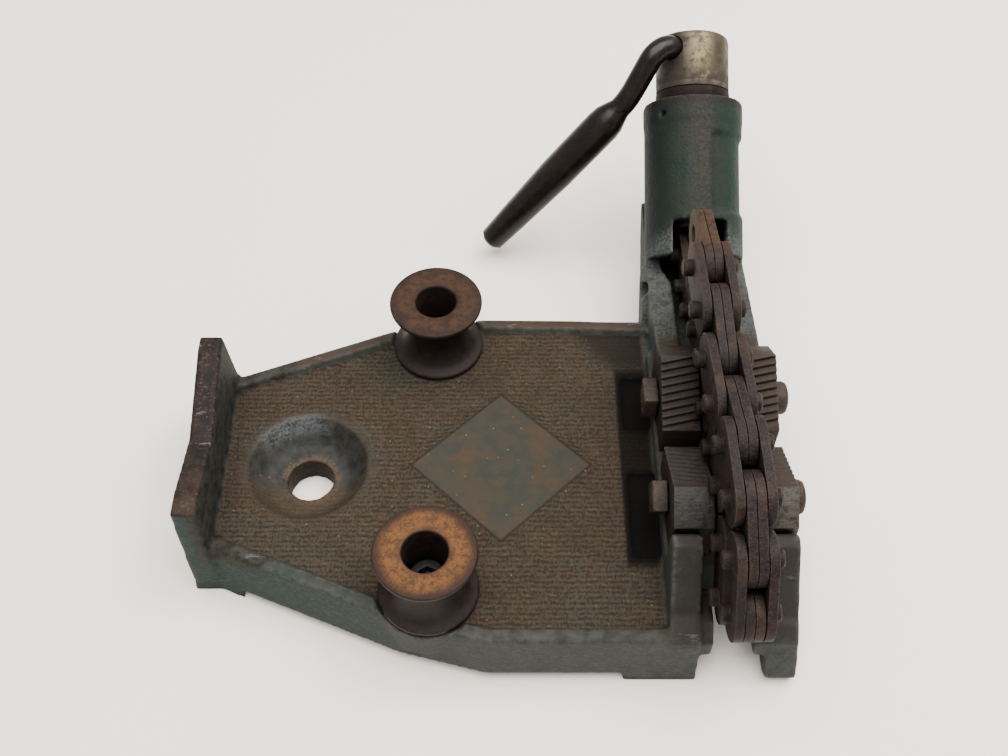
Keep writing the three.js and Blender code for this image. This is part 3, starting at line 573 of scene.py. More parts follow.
def casting_paint(f, hues):
    """Grey-green skirts, a green left end, black lugs, and a dark tower with a teal side and painted shade
    on its left side.
    """
    sides = f.fall(f.up, 0.2, 0.6)
    black = f.ramp(f.x, -33, -24) * f.fall(f.y, 66, 80) * f.ramp(f.z, 22, 30)
    moved = f.x + 10 * (f.broad - 0.5) + 7 * (f.mottle - 0.5)
    low = f.band(moved, *TOWER_PATCH_X, 3) * f.fall(f.z, *TOWER_PATCH_Z) * 0.6
    worn = f.band(moved, *TOWER_WORN_X, 3) * f.ramp(f.noise(1.6, 3, shift=410), 0.42, 0.58)
    dark = darker(hues.tower_paint, 0.62)
    paint = f.layers(
        f.mix(f.ramp(f.mottle, 0.3, 0.7), hues.paint_deep, hues.paint),
        (sides * 0.6, hues.paint),
        (f.fall(f.x, *GREEN_X) * (0.5 + 0.5 * sides), hues.paint_green),
        (black * (0.6 + 0.5 * f.patch), hues.lug_paint),
        (f.tower, f.mix(f.ramp(f.mottle, 0.34, 0.66), dark, hues.tower_paint)),
        (f.tower * f.ramp(moved, *TOWER_RIGHT_X).most(low), hues.teal),
        (f.tower * worn * 0.6, (0.03, 0.031, 0.027)),
        # Painted shade on the tower's left side.
        (f.tower * f.fall(f.x, *TOWER_SHADED_LEFT_X) * 0.5, darker(hues.tower_paint, 0.7)),
    )
    paint = f.mix(f.ramp(f.fine, 0.35, 0.7) * 0.35, f.scaled(paint, 0.6), paint)
    brush = f.ramp(f.noise(2.2, 4, 0.7, shift=860, stretch=(1, 1, 0.3)), 0.5, 0.66) * sides
    bare = f.arm * f.stains(f.fine, 0.32, 0.68, (f.mottle, 0.4), (f.grit, 0.5))
    brushed = (brush * 0.24 * (1 - f.tower), (0.095, 0.112, 0.098))
    return f.layers(paint, brushed, (bare, (0.048, 0.057, 0.058)))


def casting_tops(f, hues, paint):
    """Rusty rims and collar, and the dark pipe rest over its olive wall."""
    rims = f.ramp(f.up, 0.45, 0.8) * f.stains(f.patch, 0.28, 0.5, (f.fine, 0.3))
    rims = rims * (1 - 0.75 * f.arm) * (0.3 + 0.7 * f.stains(f.y, -60, 30, (f.broad, 40)))
    streak = f.ramp(f.noise(9, 4, shift=330, stretch=(0.6, 1, 1.6)), 0.56, 0.7)
    rust = (rims * (1 - 0.7 * f.tower) * 0.85).most(f.tower * streak * 0.3)
    collar = f.ramp(f.y * AXIS.y + f.z * AXIS.z, *COLLAR_ALONG)
    collar = f.tower * collar * f.stains(f.mottle, 0.3, 0.5, (f.fine, 0.3))
    olive = f.stains(f.mottle, 0.35, 0.6, (f.fine, 0.4))
    olive = f.mix(olive, (0.0095, 0.0085, 0.0068), (0.023, 0.0225, 0.0175))
    slope = f.fall(f.y, -38, -12) * f.ramp(f.patch, 0.35, 0.6)
    specks = f.stains(f.fine, 0.57, 0.66, (f.patch, 0.3))
    rest = f.layers(
        f.mix(f.ramp(f.mottle, 0.4, 0.62), (0.006, 0.0033, 0.003), (0.013, 0.0078, 0.0062)),
        (slope * 0.8, (0.03, 0.0175, 0.011)),
        (specks * 0.6, (0.05, 0.035, 0.026)),
    )
    return f.layers(
        paint,
        (rust, hues.rust),
        (collar * 0.9, (0.0085, 0.0045, 0.0033)),
        (f.wall * 0.93, olive),
        (f.rest * 0.92, rest),
    )


def casting_dimples(f):
    """Broken rows of dimples, about as high as deep round 0."""
    rows = (f.y * ROW_TURN + 9 * f.noise(8, 4, 0.65, shift=620)).sine()
    speck = f.noise(1.5, 4, 0.7, shift=700, stretch=(0.62, 1.3, 1))
    return rows * (0.1 + f.ramp(f.noise(3.4, 3, shift=500), 0.4, 0.6)) * 0.6 + 4.4 * (speck - 0.5)


def casting_dirt(f, hues, dimples):
    """Dirt of the plate, with dirt and painted shade in its dimples and a painted highlight on their
    crests, the smooth dish round the bolt hole with a painted highlight on its rear lip, and the pad.
    """
    mottle, patch = f.mottle, f.patch
    dimpled = (1 - f.pad) * (1 - f.bowl)
    grey = f.mix(f.ramp(mottle, 0.35, 0.6), (0.0085, 0.0095, 0.0095), (0.019, 0.0205, 0.0195))
    brown = f.mix(f.ramp(mottle, 0.35, 0.65), (0.02, 0.0135, 0.0085), (0.04, 0.0275, 0.018))
    # Painted highlight: a light grey-blue crescent on the dish's rear lip.
    painted_lip_highlight = f.band(f.from_hole, 24.5, 29.5, 3) * f.ramp(f.hole_y, 8, 22) * f.fall(f.hole_x, -2, 14)
    painted_lip_highlight = painted_lip_highlight * f.stains(f.fine, 0.2, 0.7, (mottle, 0.6))
    ring = f.band(f.from_hole, 10, 14.6, 1.2) * f.stains(f.fine, 0.44, 0.6, (mottle, 0.7))
    pad = f.mix(f.stains(mottle, 0.36, 0.62, (f.grit, 0.4)), (0.019, 0.021, 0.018), hues.pad)
    pad = f.mix(f.ramp(patch, 0.5, 0.66) * 0.55, pad, (0.044, 0.0245, 0.0125))
    return f.layers(
        f.mix(f.ramp(patch, 0.3, 0.72), darker(hues.floor_dirt, 0.78), hues.floor_dirt),
        (f.ramp(f.broad, 0.42, 0.64) * 0.5, (0.031, 0.029, 0.0215)),
        (f.ramp(mottle, 0.5, 0.68) * 0.35, (0.046, 0.024, 0.0105)),
        # Dirt and painted shade in the dimples' hollows, and a painted highlight on their crests.
        (f.fall(dimples, -0.55, 0.3) * dimpled * 0.72, hues.floor_shade_dirt),
        (f.ramp(dimples, 0.6, 1.2) * dimpled * 0.4, (0.085, 0.065, 0.044)),
        (f.bowl * 0.9, f.mix(f.stains(f.hole_y, -14, 4, (patch, 9)), brown, grey)),
        # Painted highlight on the dish's rear lip.
        (painted_lip_highlight * 0.75, (0.1, 0.112, 0.118)),
        (ring * 0.7, (0.062, 0.037, 0.02)),
        (f.pad, pad),
        (f.band(f.spread, 0.955, 1.0, 0.01) * 0.6, hues.floor_shade_dirt),
    )


def casting_stains(f, hues, tint):
    """Oil in the hole and pockets, a darker rear corner, chips, bare edges and scuffs, near-black pockets,
    painted shade in corners and dents, and a darker bottom.
    """
    mottle, patch, broad = f.mottle, f.patch, f.broad
    bored = f.fall(f.from_hole, 11.6, 12.6) * f.fall(f.up, 0.3, 0.6)
    bore = f.mix(f.ramp(mottle, 0.35, 0.6), (0.008, 0.004, 0.003), (0.024, 0.0125, 0.007))
    oily = f.stains(f.x, -60, -44, (broad, 26), (patch, 12)) * f.ramp(f.z, *POCKET_FLOOR_Z)
    oily = oily * f.band(f.y + 20 * (broad - 0.5), -56, 66, 12)
    corner = f.stains(f.x + 0.7 * f.y, -14, 4, (patch, 16), (mottle, 6)) * f.ramp(f.y, 56, 66)
    chips = f.fall(f.cells(4.6, shift=15), 0.05, 0.1) * f.ramp(f.noise(9, 2, shift=800), 0.46, 0.56)
    f.bare = f.edges(0.508, 0.57) * f.stains(mottle, 0.34, 0.58, (f.fine, 0.4))
    f.bare = f.bare * (1 - f.plate) * (1 - f.wall) * (1 - 0.6 * f.tower)
    scuff = f.ramp(f.noise(8, 5, 0.75, shift=950, stretch=(1.6, 0.5, 1)), 0.6, 0.7)
    scuff = scuff * (1 - f.plate) * f.ramp(f.up, 0.3, 0.7) * (1 - f.tower) * (1 - f.sunk)
    shade = f.fall(f.corners(16), 0.15, 0.75) * (0.75 + 0.5 * (patch - 0.5))
    return f.layers(
        tint,
        (bored, bore),
        # The pockets are laid near black.
        (f.sunk, hues.shade_and_grime),
        (oily * f.plate * (0.2 * patch), (0.013, 0.009, 0.006)),
        (corner * f.plate * 0.85, (0.009, 0.006, 0.0045)),
        (chips * f.plate * 0.35, hues.chips),
        (f.bare * (0.7 - 0.4 * f.rest), f.mix(f.rest, (0.07, 0.074, 0.066), (0.02, 0.0125, 0.0095))),
        (scuff * 0.5, (0.1, 0.105, 0.108)),
        # Painted shade in corners, found by ambient occlusion.
        (shade * 0.9, hues.shade_and_grime),
        # Painted shade in dents and creases.
        (f.edges(0.487, 0.445) * 0.75, hues.shade_and_grime),
        # Darker towards the bottom.
        (f.fall(f.z + 3 * mottle, 2.5, 5) * 0.7, hues.shade_and_grime),
    )


def casting_finish(hues):
    """Worn paint on cast iron, with a dirty dimpled plate, a teal tower and rusty tops, under painted shade
    and highlights.
    """
    f = Finish("worn_casting")
    casting_fields(f)
    dimples = casting_dimples(f)
    tint = casting_tops(f, hues, casting_paint(f, hues))
    tint = f.mix(f.plate * 0.96, tint, casting_dirt(f, hues, dimples))
    tint = casting_stains(f, hues, tint)
    relief = f.plate * (1 - f.pad) * (1 - f.bowl * 0.85) * dimples * 0.16
    height = relief + (f.mottle * 0.5 + f.fine * 0.12) * (1 - f.plate * 0.6) + f.grit * 0.03
    height = height + f.pad * f.plate * f.mottle * 0.2 + f.tower * (f.fine * 0.2 + f.grit * 0.05)
    rough = 0.58 + 0.2 * f.mottle - 0.14 * f.bare - 0.2 * f.bowl * f.plate + 0.12 * f.plate
    return f.wear(tint, rough - 0.08 * f.tower + 0.3 * f.sunk, 0.2 * f.bare, height, 0.14)


def roller_finish(hues):
    """Orange rust on the tops of the rollers, dark oiled brown on their waists."""
    f = Finish("roller_rust")
    mottle = f.noise(4.5, 5)
    broad = f.noise(13, 4, shift=70)
    fine = f.noise(0.9, 3, shift=10)
    side = f.mix(f.ramp(mottle, 0.35, 0.7), darker(hues.roller_side, 0.6), hues.roller_side)
    side = f.mix(f.ramp(broad, 0.56, 0.7) * 0.35, side, hues.rust)
    reaches = []
    for x, y in ROLLER_SPOTS.values():
        dx, dy = f.x - x, f.y - y
        reaches.append((dx * dx + dy * dy) ** 0.5)
    top = f.ramp(f.facing(), 0.6, 0.9) * f.ramp(f.z, 61, 62.6)
    uneven = reaches[0].least(reaches[1]) + 5 * (broad - 0.5) + 2 * (mottle - 0.5)
    orange = f.stains(mottle, 0.3, 0.66, (fine, 0.8))
    rear = f.mix(f.ramp(mottle, 0.35, 0.65), (0.0075, 0.0035, 0.0022), (0.021, 0.0095, 0.0055))
    flange = f.layers(
        f.mix(orange, darker(hues.bright_rust, 0.4), hues.bright_rust),
        (f.ramp(uneven, 17, 22) * 0.9, (0.0105, 0.0047, 0.0034)),
        (f.fall(uneven, 11, 13) * 0.5, (0.032, 0.0155, 0.0085)),
        (f.ramp(f.y, -10, 20) * 0.85, rear),
    )
    tint = f.layers(
        side,
        (top, flange),
        (f.rubbed(0.9) * f.ramp(fine, 0.4, 0.6) * 0.4, (0.055, 0.034, 0.022)),
        # Painted shade in corners.
        (f.fall(f.corners(9), 0.1, 0.7) * 0.9, hues.shade_and_grime),
    )
    height = mottle * 0.18 + fine * 0.07
    return f.wear(tint, 0.46 + 0.22 * mottle + 0.16 * top, 0.1, height, 0.2)


def iron_finish(name, base, light, grain, hues, gloss=0.5, dusty=0, shine=0.25, rusty=0.5, coarse=0.32):
    """Dull iron with painted shade in its corners, brighter on its worn edges."""
    f = Finish(name)
    mottle = f.noise(grain, 5)
    broad = f.noise(grain * 5, 3, shift=55)
    fine = f.noise(grain * 0.22, 3, shift=33)
    pitted = 1 - f.stains(fine, 0.3, 0.46, (mottle, 0.4))
    worn = f.rubbed(0.8) * f.stains(mottle, 0.3, 0.55, (fine, 0.5))
    tint = f.layers(
        f.mix(f.ramp(mottle, 0.36, 0.62), darker(base, 0.42), base),
        (f.ramp(broad, 0.5, 0.68) * rusty, hues.rust),
        (f.ramp(fine, 0.5, 0.68) * 0.45, light),
        (pitted * 0.6, darker(base, 0.4)),
        (worn * 0.85, light),
        # Painted shade in corners.
        (f.fall(f.corners(5), 0.15, 0.8) * 0.95, hues.shade_and_grime),
    )
    if dusty:
        end = f.ramp(f.y, 52, 80) * f.ramp(f.z, 76, 90) * f.ramp(mottle, 0.3, 0.55)
        tint = f.mix(end * dusty, tint, hues.chain_dust)
    height = mottle * coarse + fine * coarse * 0.45
    return f.wear(tint, gloss + 0.22 * mottle, 0.08, height, shine)


def jaw_finish(hues):
    """Dull brown jaws with painted shade between the teeth, bare on the crests and grey on the front heels.
    """
    f = Finish("jaw_iron")
    mottle = f.noise(3.2, 5)
    broad = f.noise(13, 3, shift=21)
    fine = f.noise(0.8, 3, shift=8)
    right = f.ramp(f.x, 4, 9)
    heel = f.fall(f.y, -36.8, -35.4) * f.ramp(f.z, 52, 56)
    grey = f.mix(f.ramp(mottle, 0.3, 0.6), (0.0085, 0.0078, 0.0066), (0.021, 0.0205, 0.0185))
    scratch = f.ramp(f.noise(2.2, 3, 0.6, shift=300, stretch=(4, 0.35, 0.35)), 0.63, 0.68)
    tint = f.layers(
        f.mix(f.ramp(mottle, 0.32, 0.7), darker(hues.jaw_iron, 0.55), hues.jaw_iron),
        (right * f.ramp(broad, 0.3, 0.6) * 0.75, (0.0185, 0.0098, 0.005)),
        (heel * 0.85, grey),
        (right * heel * f.ramp(mottle, 0.3, 0.6) * 0.8, (0.047, 0.039, 0.03)),
        (scratch * heel * 0.4, (0.07, 0.07, 0.068)),
        (f.rubbed(0.7) * f.ramp(fine, 0.3, 0.55) * 0.85, (0.06, 0.043, 0.032)),
        # Painted shade between the teeth and in corners.
        (f.fall(f.corners(3), 0.4, 0.92) * 0.95, hues.shade_and_grime),
    )
    height = mottle * 0.3 + fine * 0.16
    return f.wear(tint, 0.5 + 0.2 * mottle - 0.14 * heel, 0.1, height, 0.2)


def crank_finish(hues):
    """Turned steel with brown stains, painted shade on its left side and, less, on its right, so that a
    painted highlight runs down its middle, and fine turning marks.
    """
    f = Finish("crank_steel")
    mottle = f.noise(4, 6)
    broad = f.noise(16, 4, shift=120)
    fine = f.noise(0.7, 3, shift=61)
    turning = f.noise(1.1, 2, 0.5, shift=9, stretch=(14, 1, 1))
    stain = f.ramp(mottle * 0.6 + broad * 0.5, 0.5, 0.68)
    # Painted shade: the nut's left side is laid near black and made less metallic.
    painted_shade_left = 1 - f.stains(f.x, -10, 2, (broad, 9))
    lowest = TOWER_BASE[1] * AXIS.y + TOWER_BASE[2] * AXIS.z
    along = f.y * AXIS.y + f.z * AXIS.z
    foot = 1 - f.stains(along, lowest + 36, lowest + 43, (broad, 5))
    tint = f.layers(
        f.mix(stain * 0.7, hues.crank_metal, hues.crank_stain),
        (f.stains(fine, 0.52, 0.66, (mottle, 0.3)) * 0.7, darker(hues.crank_stain, 0.5)),
        # Painted shade: near black on the left, dimmer on the right, leaving a painted highlight down the
        # middle.
        (painted_shade_left * 0.9, (0.004, 0.003, 0.0022)),
        (f.stains(f.x, 4, 10, (mottle, 6)) * 0.75, (0.045, 0.037, 0.025)),
        (foot * f.ramp(mottle, 0.25, 0.5) * 0.85, (0.02, 0.013, 0.0095)),
        # Painted shade in corners.
        (f.fall(f.corners(4), 0.1, 0.65) * 0.9, hues.shade_and_grime),
    )
    rough = 0.36 + 0.3 * stain + 0.1 * fine + 0.25 * foot
    metal = (0.8 - 0.5 * stain) * (1 - 0.9 * painted_shade_left) * (1 - 0.9 * foot)
    return f.wear(tint, rough, metal, turning * 0.03 + mottle * 0.06, 0.3)


def stage_finish(hues):
    """A plain pale floor with the faintest unevenness."""
    f = Finish("pale_floor")
    cloud = f.noise(240, 4)
    tint = f.mix(f.ramp(cloud, 0.3, 0.75) * 0.25, hues.stage, darker(hues.stage, 0.93))
    return f.wear(tint, 0.85, 0.0, cloud * 0.4)


# ---- pieces ----
class VISE_OT_casting(Operator):
    """Smooth the casting's facets and round its edges"""

    bl_idname = "vise.casting"
    bl_label = "Casting"

    MOST_TRIANGLES = 180000

    def execute(self, context):
        sizes, hues = chosen(context)
        piece = copied(frame["nodes"]["vise_body"], "cast_body")
        close_up(piece)
        modify(piece, "REMESH", mode="VOXEL", voxel_size=sizes.casting_grain)
        modify(piece, "SMOOTH", factor=0.5, iterations=sizes.casting_rounds)
        triangles = len(piece.data.polygons) * 2
        modify(piece, "DECIMATE", ratio=min(1, self.MOST_TRIANGLES / triangles))
        dress(piece, casting_finish(hues), "vise_body", 60)
        return {"FINISHED"}


class VISE_OT_rollers(Operator):
    """Turn the two waisted bender rollers with their socket bolts and nuts"""

    bl_idname = "vise.rollers"
    bl_label = "Bender rollers"

    WAIST_STEPS = 22

    def roller(self, sizes):
        """One roller, up the outside and down the bore."""
        foot, top, flange, waist = ROLLER_FOOT, 63.4, 22.7, 15
        middle = (foot + top) / 2
        half = (top - foot) / 2 - 3.1
        rings = [(5.3, foot), (flange - 0.3, foot), (flange, foot + 0.9), (flange, foot + 2.2)]
        for i in range(self.WAIST_STEPS + 1):
            t = 2 * i / self.WAIST_STEPS - 1
            r = waist + (flange - waist) * (1 - sqrt(1 - t * t * 0.97))
            rings.append((min(r, flange - 0.5), middle + t * half))
        rings += [(flange, top - 2.2), (flange, top - 0.9), (flange - 0.4, top)]
        rings += [(10.8, top), (9.8, top - 1), (9.8, foot + 5.5), (5.3, foot + 5.5), (5.3, foot)]
        piece = turned("roller", rings, sizes.around, hollow=True)
        soften(piece, sizes.edge_round, 3, 24)
        return piece

    def bolt(self, sizes):
        """A socket-head bolt."""
        seat = ROLLER_FOOT + 5.8
        top = seat + 8
        rings = [(4.2, 3.5), (5, 4.3), (5, seat), (8.4, seat), (8.4, top - 0.9), (7.5, top)]
        piece = turned("bolt", rings, 48)
        carve(piece, turned("socket", [(4.4, top - 4.5), (4.4, top + 1)], 6))
        soften(piece, sizes.plate_round, 2, 40)
        return piece

    def nut(self, sizes):
        """A hexagon nut under the plate."""
        piece = turned("nut", [(8.3, 4.7), (9.2, 5.3), (9.2, 11.1), (8.3, 11.7)], 6)
        carve(piece, turned("nut_hole", [(5.3, 2), (5.3, 14)], 32))
        soften(piece, sizes.plate_round, 2, 28)
        return piece

    def execute(self, context):
        sizes, hues = chosen(context)
        rust = roller_finish(hues)
        black, light = (0.004, 0.003, 0.0025), (0.008, 0.006, 0.005)
        iron = iron_finish("bore_iron", black, light, 2.4, hues, rusty=0.1)
        kinds = (
            (self.roller(sizes), "bender_roller_", rust),
            (self.bolt(sizes), "roller_bolt_", iron),
            (self.nut(sizes), "roller_nut_", iron),
        )
        for model, kind, look in kinds:
            for end, (x, y) in ROLLER_SPOTS.items():
                piece = copied(model, "fine_" + kind + end, Matrix.Translation(at(x, y, 0)))
                dress(piece, look, kind + end, 28)
            dropped(model)
        return {"FINISHED"}


class VISE_OT_jaws(Operator):
    """Cut the four toothed jaws"""

    bl_idname = "vise.jaws"
    bl_label = "Jaws"

    X = (9.5, 27)
    FOOT = 36.3
    TOE, RIDGE, HEEL = (4.5, 53.5), (36, 69.5), (50.4, 58.8)  # Y and Z, on the rear side
    TEETH = 9
    FIRST, PITCH = 1.6, 3.7  # of the teeth, along the slope
    SKEW = 3.6  # of a tooth, over the width of a jaw

    def jaw(self, sizes, x_side, y_side):
        """A block cut to its slopes, then toothed."""
        toe, ridge, heel = self.TOE, self.RIDGE, self.HEEL
        x0, x1 = sorted(x * x_side for x in self.X)
        y0, y1 = sorted((toe[0] * y_side, heel[0] * y_side))
        piece = block("jaw", x0, x1, y0, y1, self.FOOT, ridge[1])
        middle = (x0 + x1) / 2
        slope = atan2(ridge[1] - toe[1], ridge[0] - toe[0])
        along = Vector((0, y_side * cos(slope), sin(slope)))
        out = Vector((0, -y_side * sin(slope), cos(slope)))
        fall = atan2(ridge[1] - heel[1], heel[0] - ridge[0])
        back = Vector((0, y_side * sin(fall), cos(fall)))
        start = Vector((middle, toe[0] * y_side, toe[1])) * MM
        crest = Vector((middle, ridge[0] * y_side, ridge[1])) * MM
        lean = atan2(self.SKEW, x1 - x0) * y_side
        across = Matrix.Rotation(lean, 3, out) @ along
        with shaping(piece):
            for spot, normal in ((start, out), (crest, back)):
                bpy.ops.mesh.select_all(action="SELECT")
                cut = {"plane_co": spot, "plane_no": normal}
                bpy.ops.mesh.bisect(**cut, clear_outer=True, use_fill=True)
            for tooth in range(self.TEETH):
                valley = self.FIRST + (tooth + 0.5) * self.PITCH
                for step in (valley - 2.1, valley, valley + 0.7):
                    bpy.ops.mesh.select_all(action="SELECT")
                    bpy.ops.mesh.bisect(plane_co=start + along * step * MM, plane_no=across)
                line = start + along * valley * MM

                def low(spot):
                    on_face = abs((spot - start).dot(out)) < 4 * TINY
                    return on_face and abs((spot - line).dot(across)) < 4 * TINY

                choose(piece, low)
                bpy.ops.transform.translate(value=-out * sizes.tooth_depth)
        carve(piece, rod("jaw_hole", 5.3, x0 - 1, x1 + 1, JAW_BOLT[0] * y_side, JAW_BOLT[1]))
        close_up(piece)
        soften(piece, sizes.tooth_round, 2, 22)
        return settle(piece, Matrix.Translation(ORIGIN))

    def execute(self, context):
        sizes, hues = chosen(context)
        look = jaw_finish(hues)
        for side, x_side in (("left", -1), ("right", 1)):
            for end, y_side in ENDS:
                node = "jaw_" + side + "_" + end
                piece = self.jaw(sizes, x_side, y_side)
                piece.name = "fine_" + node
                dress(piece, look, node, 26)
        return {"FINISHED"}


class VISE_OT_jaw_bolts(Operator):
    """Turn the bolts across the jaws and shape their square nuts"""

    bl_idname = "vise.jaw_bolts"
    bl_label = "Jaw bolts and nuts"

    def bolt(self, sizes):
        """A round-headed bolt along X."""
        rings = [(4.1, -34.8), (5, -33.9), (5, 27.3), (8, 27.3), (8, 32), (7.2, 33.6), (5.4, 34.3)]
        piece = settle(turned("bolt", rings, 48), ALONG_X)
        soften(piece, sizes.plate_round, 2, 30)
        return piece

    def nut(self, sizes):
        """A square nut with worn corners."""
        piece = block("nut", -34.5, -27.3, -7, 7, -7, 7)
        soften(piece, 0.9 * MM, 3, 40)
        carve(piece, rod("nut_hole", 5.3, -40, -20, 0, 0))
        return piece

    def execute(self, context):
        sizes, hues = chosen(context)
        look = iron_finish("bolt_iron", hues.bolt_rust, (0.075, 0.055, 0.04), 2.4, hues)
        bolt, nut = self.bolt(sizes), self.nut(sizes)
        for end, y_side in ENDS:
            spot = Matrix.Translation(at(0, JAW_BOLT[0] * y_side, JAW_BOLT[1]))
            turn = Matrix.Rotation(JAW_NUT_TURN[end], 4, "X")
            for model, kind, matrix in ((bolt, "jaw_bolt_", spot), (nut, "jaw_nut_", spot @ turn)):
                node = kind + end
                piece = copied(model, "fine_" + node, matrix)
                dress(piece, look, node, 35)
        dropped(bolt, nut)
        return {"FINISHED"}


class VISE_OT_chain(Operator):
    """Model an outer and an inner link and lay their copies along the chain"""

    bl_idname = "vise.chain"
    bl_label = "Chain"

    PITCH = 24.4
    RADIUS = 11.75
    THICK = 4.05

    def plate(self, x0, x1, around=44):
        """A disc whose far half is drawn out to the next pin."""
        piece = rod("plate", self.RADIUS, x0, x1, 0, 0, around)
        settle(piece, Matrix.Rotation(pi / around, 4, "X"))
        with shaping(piece):
            choose(piece, lambda spot: spot.y > 0)
            bpy.ops.transform.translate(value=(0, self.PITCH * MM, 0))
        return piece

    def pin(self, y):
        """A pin with slightly crowned ends."""
        rings = [(1.6, -12.8), (3.2, -12.65), (4, -11.9), (4, 11.9), (3.2, 12.65), (1.6, 12.8)]
        piece = turned("pin", rings, 32)
        return settle(piece, Matrix.Translation((0, y * MM, 0)) @ ALONG_X)

    def outer(self, sizes):
        """Two plates, with a pin at each end."""
        inner = self.THICK + 0.4
        plates = [self.plate(inner, inner + self.THICK), self.plate(-inner - self.THICK, -inner)]
        for piece in plates:
            soften(piece, sizes.plate_round, 2, 40)
        return joined("outer_link", plates + [self.pin(0), self.pin(self.PITCH)])

    def inner(self, sizes):
        """Two plates close together, bored for the pins."""
        half = sizes.plate_gap / MM / 2
        plates = [self.plate(half, self.THICK), self.plate(-self.THICK, -half)]
        for piece in plates:
            for y in (0, self.PITCH):
                carve(piece, rod("pin_hole", 4.35, -6, 6, y, 0))
            soften(piece, sizes.plate_round, 2, 40)
        return joined("inner_link", plates)

    def execute(self, context):
        sizes, hues = chosen(context)
        light = (0.05, 0.032, 0.028)
        look = {"dusty": 0.8, "shine": 0.16, "rusty": 0.6, "coarse": 0.5}
        iron = iron_finish("chain_iron", hues.chain_iron, light, 2.6, hues, **look)
        models = (self.outer(sizes), self.inner(sizes))
        nodes = sorted(name for name in frame["nodes"] if name.startswith("chain_link_"))
        hinges = {joint["child"]: joint for joint in frame["joints"]}
        pins = [Vector(hinges[body_of(node)]["pos_m"]) for node in nodes]
        low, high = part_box(nodes[-1])
        pins.append(low + high - pins[-1])
        for number, node in enumerate(nodes):
            forth = (pins[number + 1] - pins[number]).normalized()
            side = Vector((forth.y, -forth.x, 0)).normalized()
            side = side if side.x > 0 else -side
            matrix = placed(side, forth, side.cross(forth), pins[number])
            piece = copied(models[number % 2], "fine_" + node, matrix)
            dress(piece, iron, node, 35)
        dropped(*models)
        return {"FINISHED"}


class VISE_OT_crank(Operator):
    """Turn the crank nut and the thrust washer of the tower"""

    bl_idname = "vise.crank"
    bl_label = "Crank nut and washer"

    def nut(self, sizes):
        """The sleeve nut, with its bore and cross hole."""
        rings = [(12.4, 44), (12.4, -10), (15.5, -10), (15.5, 31.3), (19.2, 31.3), (19.2, 33.6)]
        rings += [(18.9, 34.2), (19.2, 34.8), (19.2, 57.1), (18.7, 59.1), (17.4, 60.2), (15.6, 60.5)]
        piece = settle(turned("crank", rings, sizes.around), ON_TOWER)
        spot = at(*TOWER_BASE) + AXIS * CROSS_AT * MM
        hole = turned("cross_hole", [(6.4, -40), (6.4, 40)], 48)
        side = AXIS.cross(CROSS)
        carve(piece, settle(hole, placed(side, CROSS.cross(side), CROSS, spot)))
        soften(piece, sizes.edge_round, 3, 30)
        return piece

    def execute(self, context):
        sizes, hues = chosen(context)
        piece = self.nut(sizes)
        piece.name = "fine_crank_nut"
        dress(piece, crank_finish(hues), "crank_nut", 28)
        rings = [(15.9, 24.7), (19.0, 24.7), (19.4, 25.5), (19.4, 30.2), (19.0, 31), (15.9, 31)]
        washer = turned("fine_thrust_washer", rings + rings[:1], sizes.around, hollow=True)
        settle(washer, ON_TOWER)
        soften(washer, sizes.plate_round, 2, 30)
        light = (0.018, 0.011, 0.008)
        rust = iron_finish("washer_rust", hues.washer_rust, light, 2.2, hues, gloss=0.6, shine=0.14)
        dress(washer, rust, "thrust_washer")
        screw = frame["nodes"]["draw_screw"]
        screw.data.materials.clear()
        plain = iron_finish("hidden_iron", hues.jaw_iron, (0.08, 0.07, 0.06), 3, hues)
        screw.data.materials.append(plain)
        return {"FINISHED"}


